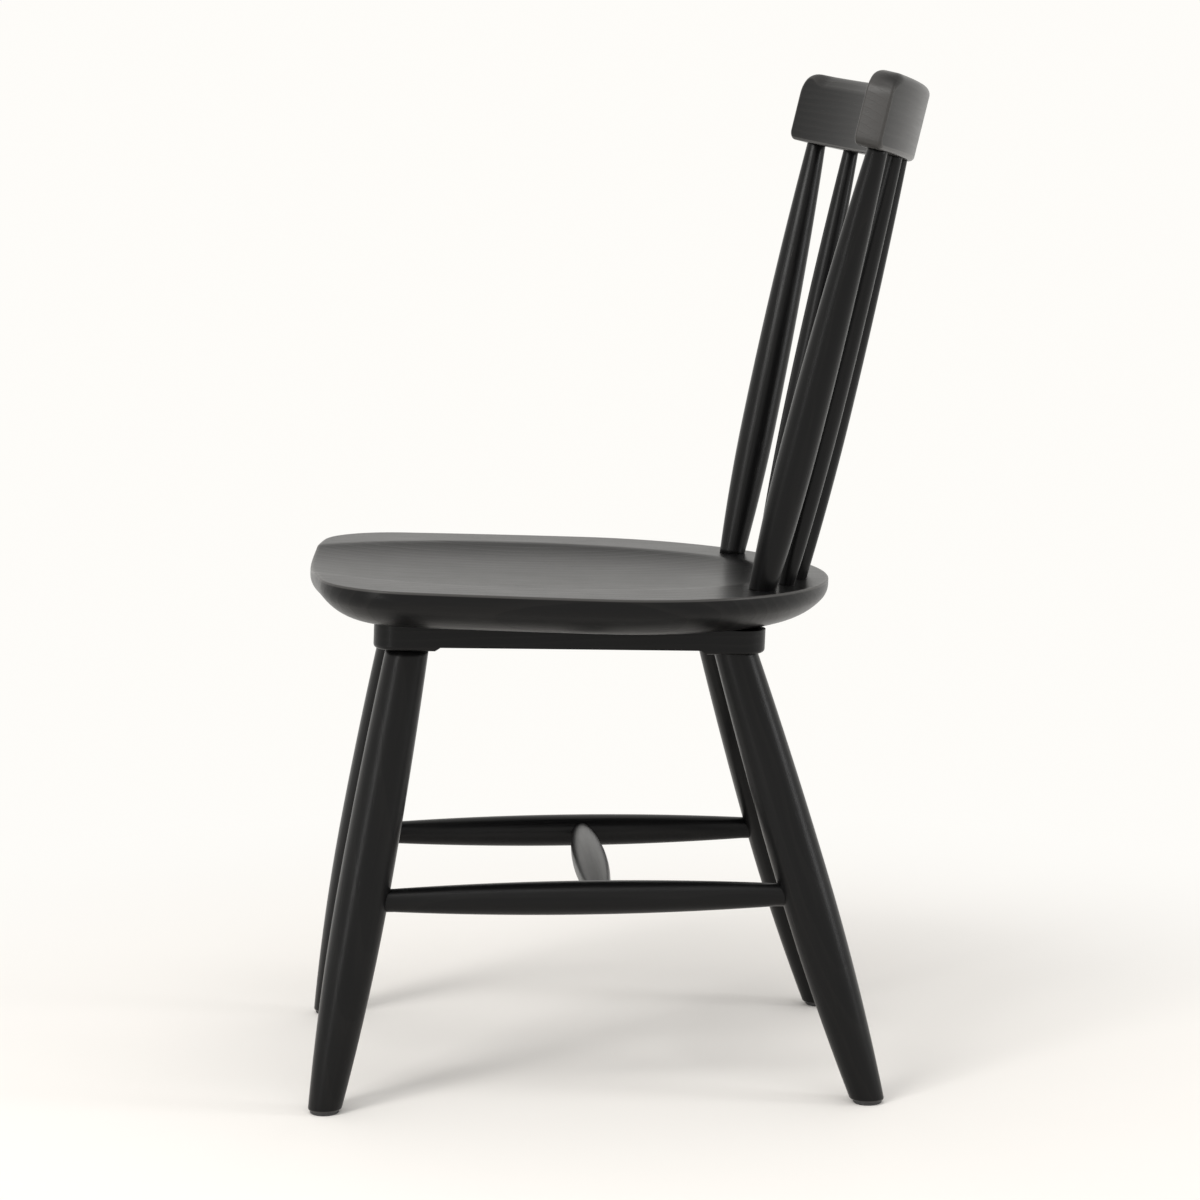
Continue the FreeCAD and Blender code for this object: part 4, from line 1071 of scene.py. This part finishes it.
# The floor turns into the wall between these distances from the middle.
FLOOR_FADE = (0.35, 1.1)
LAMPS = (
    {"name": "key_softbox", "spot": (1.5, -1.5, 2.35), "target": (0, 0, 0.6),
     "size": (0.9, 0.9), "power": 28, "tint": (1.0, 0.99, 0.97)},
    {"name": "strip_softbox", "spot": (1.75, -1.95, 1.1), "target": (0, 0, 0.6),
     "size": (0.3, 1.9), "power": 12, "tint": (1.0, 0.99, 0.98)},
    {"name": "side_softbox", "spot": (0.70, 2.60, 1.2), "target": (0, 0, 0.6),
     "size": (0.6, 1.5), "power": 16, "tint": (0.98, 0.99, 1.0)},
    {"name": "overhead_softbox", "spot": (1.0, 0.0, 2.7), "target": (0, 0, 0.5),
     "size": (1.2, 1.2), "power": 7, "tint": (1, 1, 1)},
)


def seen_directly(tree, x, y):
    """1 where the wall is seen by the camera, in a reflection or through glass."""
    path = add_node(tree, "ShaderNodeLightPath", (x, y))
    seen = calculate(tree, "MAXIMUM", path.outputs["Is Camera Ray"],
                     path.outputs["Is Glossy Ray"], (x + 200, y))
    return calculate(tree, "MAXIMUM", seen, path.outputs["Is Transmission Ray"], (x + 400, y))


def make_background(scene, sizes):
    world = bpy.data.worlds.new("studio")
    scene.world = world
    world.use_nodes = True
    tree = world.node_tree
    tree.nodes.clear()
    wall = add_node(tree, "ShaderNodeBackground", (0, 100))
    wall.inputs["Color"].default_value = (*sizes.background, 1)
    wall.inputs["Strength"].default_value = 1.0
    room = add_node(tree, "ShaderNodeBackground", (0, -100))
    room.inputs["Color"].default_value = (1.0, 0.99, 0.975, 1)
    room.inputs["Strength"].default_value = sizes.daylight
    mix = add_node(tree, "ShaderNodeMixShader", (250, 0))
    link(tree, seen_directly(tree, -500, 200), mix.inputs["Fac"])
    link(tree, room.outputs[0], mix.inputs[1])
    link(tree, wall.outputs[0], mix.inputs[2])
    output = add_node(tree, "ShaderNodeOutputWorld", (450, 0))
    link(tree, mix.outputs[0], output.inputs["Surface"])


def make_floor(sizes):
    """A wide disc that fades into the wall, and keeps the chair's shadow near the chair."""
    mesh = bpy.data.meshes.new("floor")
    bm = bmesh.new()
    bmesh.ops.create_circle(bm, cap_ends=True, segments=96, radius=FLOOR_RADIUS)
    bm.to_mesh(mesh)
    bm.free()
    floor = bpy.data.objects.new("floor", mesh)
    bpy.context.collection.objects.link(floor)
    material, tree, _ = new_material("pale_floor")
    tree.nodes.clear()
    spot = add_node(tree, "ShaderNodeNewGeometry", (-900, 0))
    reach = add_node(tree, "ShaderNodeVectorMath", (-700, 0), operation="LENGTH")
    link(tree, spot.outputs["Position"], reach.inputs[0])
    far_off = ramp_between(tree, reach.outputs["Value"], *FLOOR_FADE, (-500, 0))
    direct = calculate(tree, "MULTIPLY", far_off, seen_directly(tree, -900, 300), (-250, 100))
    near = add_node(tree, "ShaderNodeBsdfDiffuse", (0, 0))
    near.inputs["Color"].default_value = (*sizes.floor, 1)
    far = add_node(tree, "ShaderNodeEmission", (0, -150))
    far.inputs["Color"].default_value = (*sizes.background, 1)
    far.inputs["Strength"].default_value = 1.0
    mix = add_node(tree, "ShaderNodeMixShader", (250, 0))
    link(tree, direct, mix.inputs["Fac"])
    link(tree, near.outputs[0], mix.inputs[1])
    link(tree, far.outputs[0], mix.inputs[2])
    output = add_node(tree, "ShaderNodeOutputMaterial", (450, 0))
    link(tree, mix.outputs[0], output.inputs["Surface"])
    mesh.materials.append(material)


def aim(item, spot, target):
    item.location = spot
    item.rotation_euler = (Vector(target) - Vector(spot)).to_track_quat("-Z", "Y").to_euler()


def make_lamp(name, spot, target, size, power, tint):
    light = bpy.data.lights.new(name, "AREA")
    light.shape = "RECTANGLE"
    light.size, light.size_y = size
    light.energy = power
    light.color = tint
    lamp = bpy.data.objects.new(name, light)
    bpy.context.collection.objects.link(lamp)
    aim(lamp, spot, target)


def make_camera(scene, sizes):
    data = bpy.data.cameras.new("camera")
    data.lens = sizes.lens
    data.sensor_width = 36.0
    data.clip_start = 0.05
    data.clip_end = 200.0
    camera = bpy.data.objects.new("camera", data)
    scene.collection.objects.link(camera)
    aim(camera, sizes.camera, sizes.target)
    scene.camera = camera


class CHAIR_OT_stage(Operator):
    """Floor, wall, lamps and camera"""

    bl_idname = "chair.stage"
    bl_label = "Stage"

    def execute(self, context):
        sizes = context.scene.chair_stage
        context.scene.view_settings.view_transform = "Standard"
        make_background(context.scene, sizes)
        make_floor(sizes)
        for lamp in LAMPS:
            make_lamp(**lamp)
        make_camera(context.scene, sizes)
        return {"FINISHED"}


# Panel and registration


SETTINGS = (
    ("chair_stage", StageSettings),
    ("chair_paint", PaintSettings),
    ("chair_seat", SeatSettings),
    ("chair_legs", LegSettings),
    ("chair_stretchers", StretcherSettings),
    ("chair_back", BackSettings),
)
OPERATORS = (
    CHAIR_OT_stage,
    CHAIR_OT_seat,
    CHAIR_OT_seat_rails,
    CHAIR_OT_legs,
    CHAIR_OT_stretchers,
    CHAIR_OT_uprights,
    CHAIR_OT_crest_rail,
    CHAIR_OT_fittings,
)


class CHAIR_PT_pieces(Panel):
    """Lists the chair's pieces in the sidebar"""

    bl_label = "Spindle-Back Chair"
    bl_space_type = "VIEW_3D"
    bl_region_type = "UI"
    bl_category = "Chair"

    def draw(self, context):
        for operator in OPERATORS:
            self.layout.operator(operator.bl_idname)


def register():
    for name, group in SETTINGS:
        bpy.utils.register_class(group)
        setattr(bpy.types.Scene, name, PointerProperty(type=group))
    for item in (*OPERATORS, CHAIR_PT_pieces):
        bpy.utils.register_class(item)


def unregister():
    for item in (CHAIR_PT_pieces, *reversed(OPERATORS)):
        bpy.utils.unregister_class(item)
    for name, group in reversed(SETTINGS):
        delattr(bpy.types.Scene, name)
        bpy.utils.unregister_class(group)


def main():
    register()
    bpy.ops.chair.stage()
    bpy.ops.chair.seat()
    bpy.ops.chair.seat_rails()
    bpy.ops.chair.legs()
    bpy.ops.chair.stretchers()
    bpy.ops.chair.uprights()
    bpy.ops.chair.crest_rail()
    bpy.ops.chair.fittings()


if __name__ == "__main__":
    main()
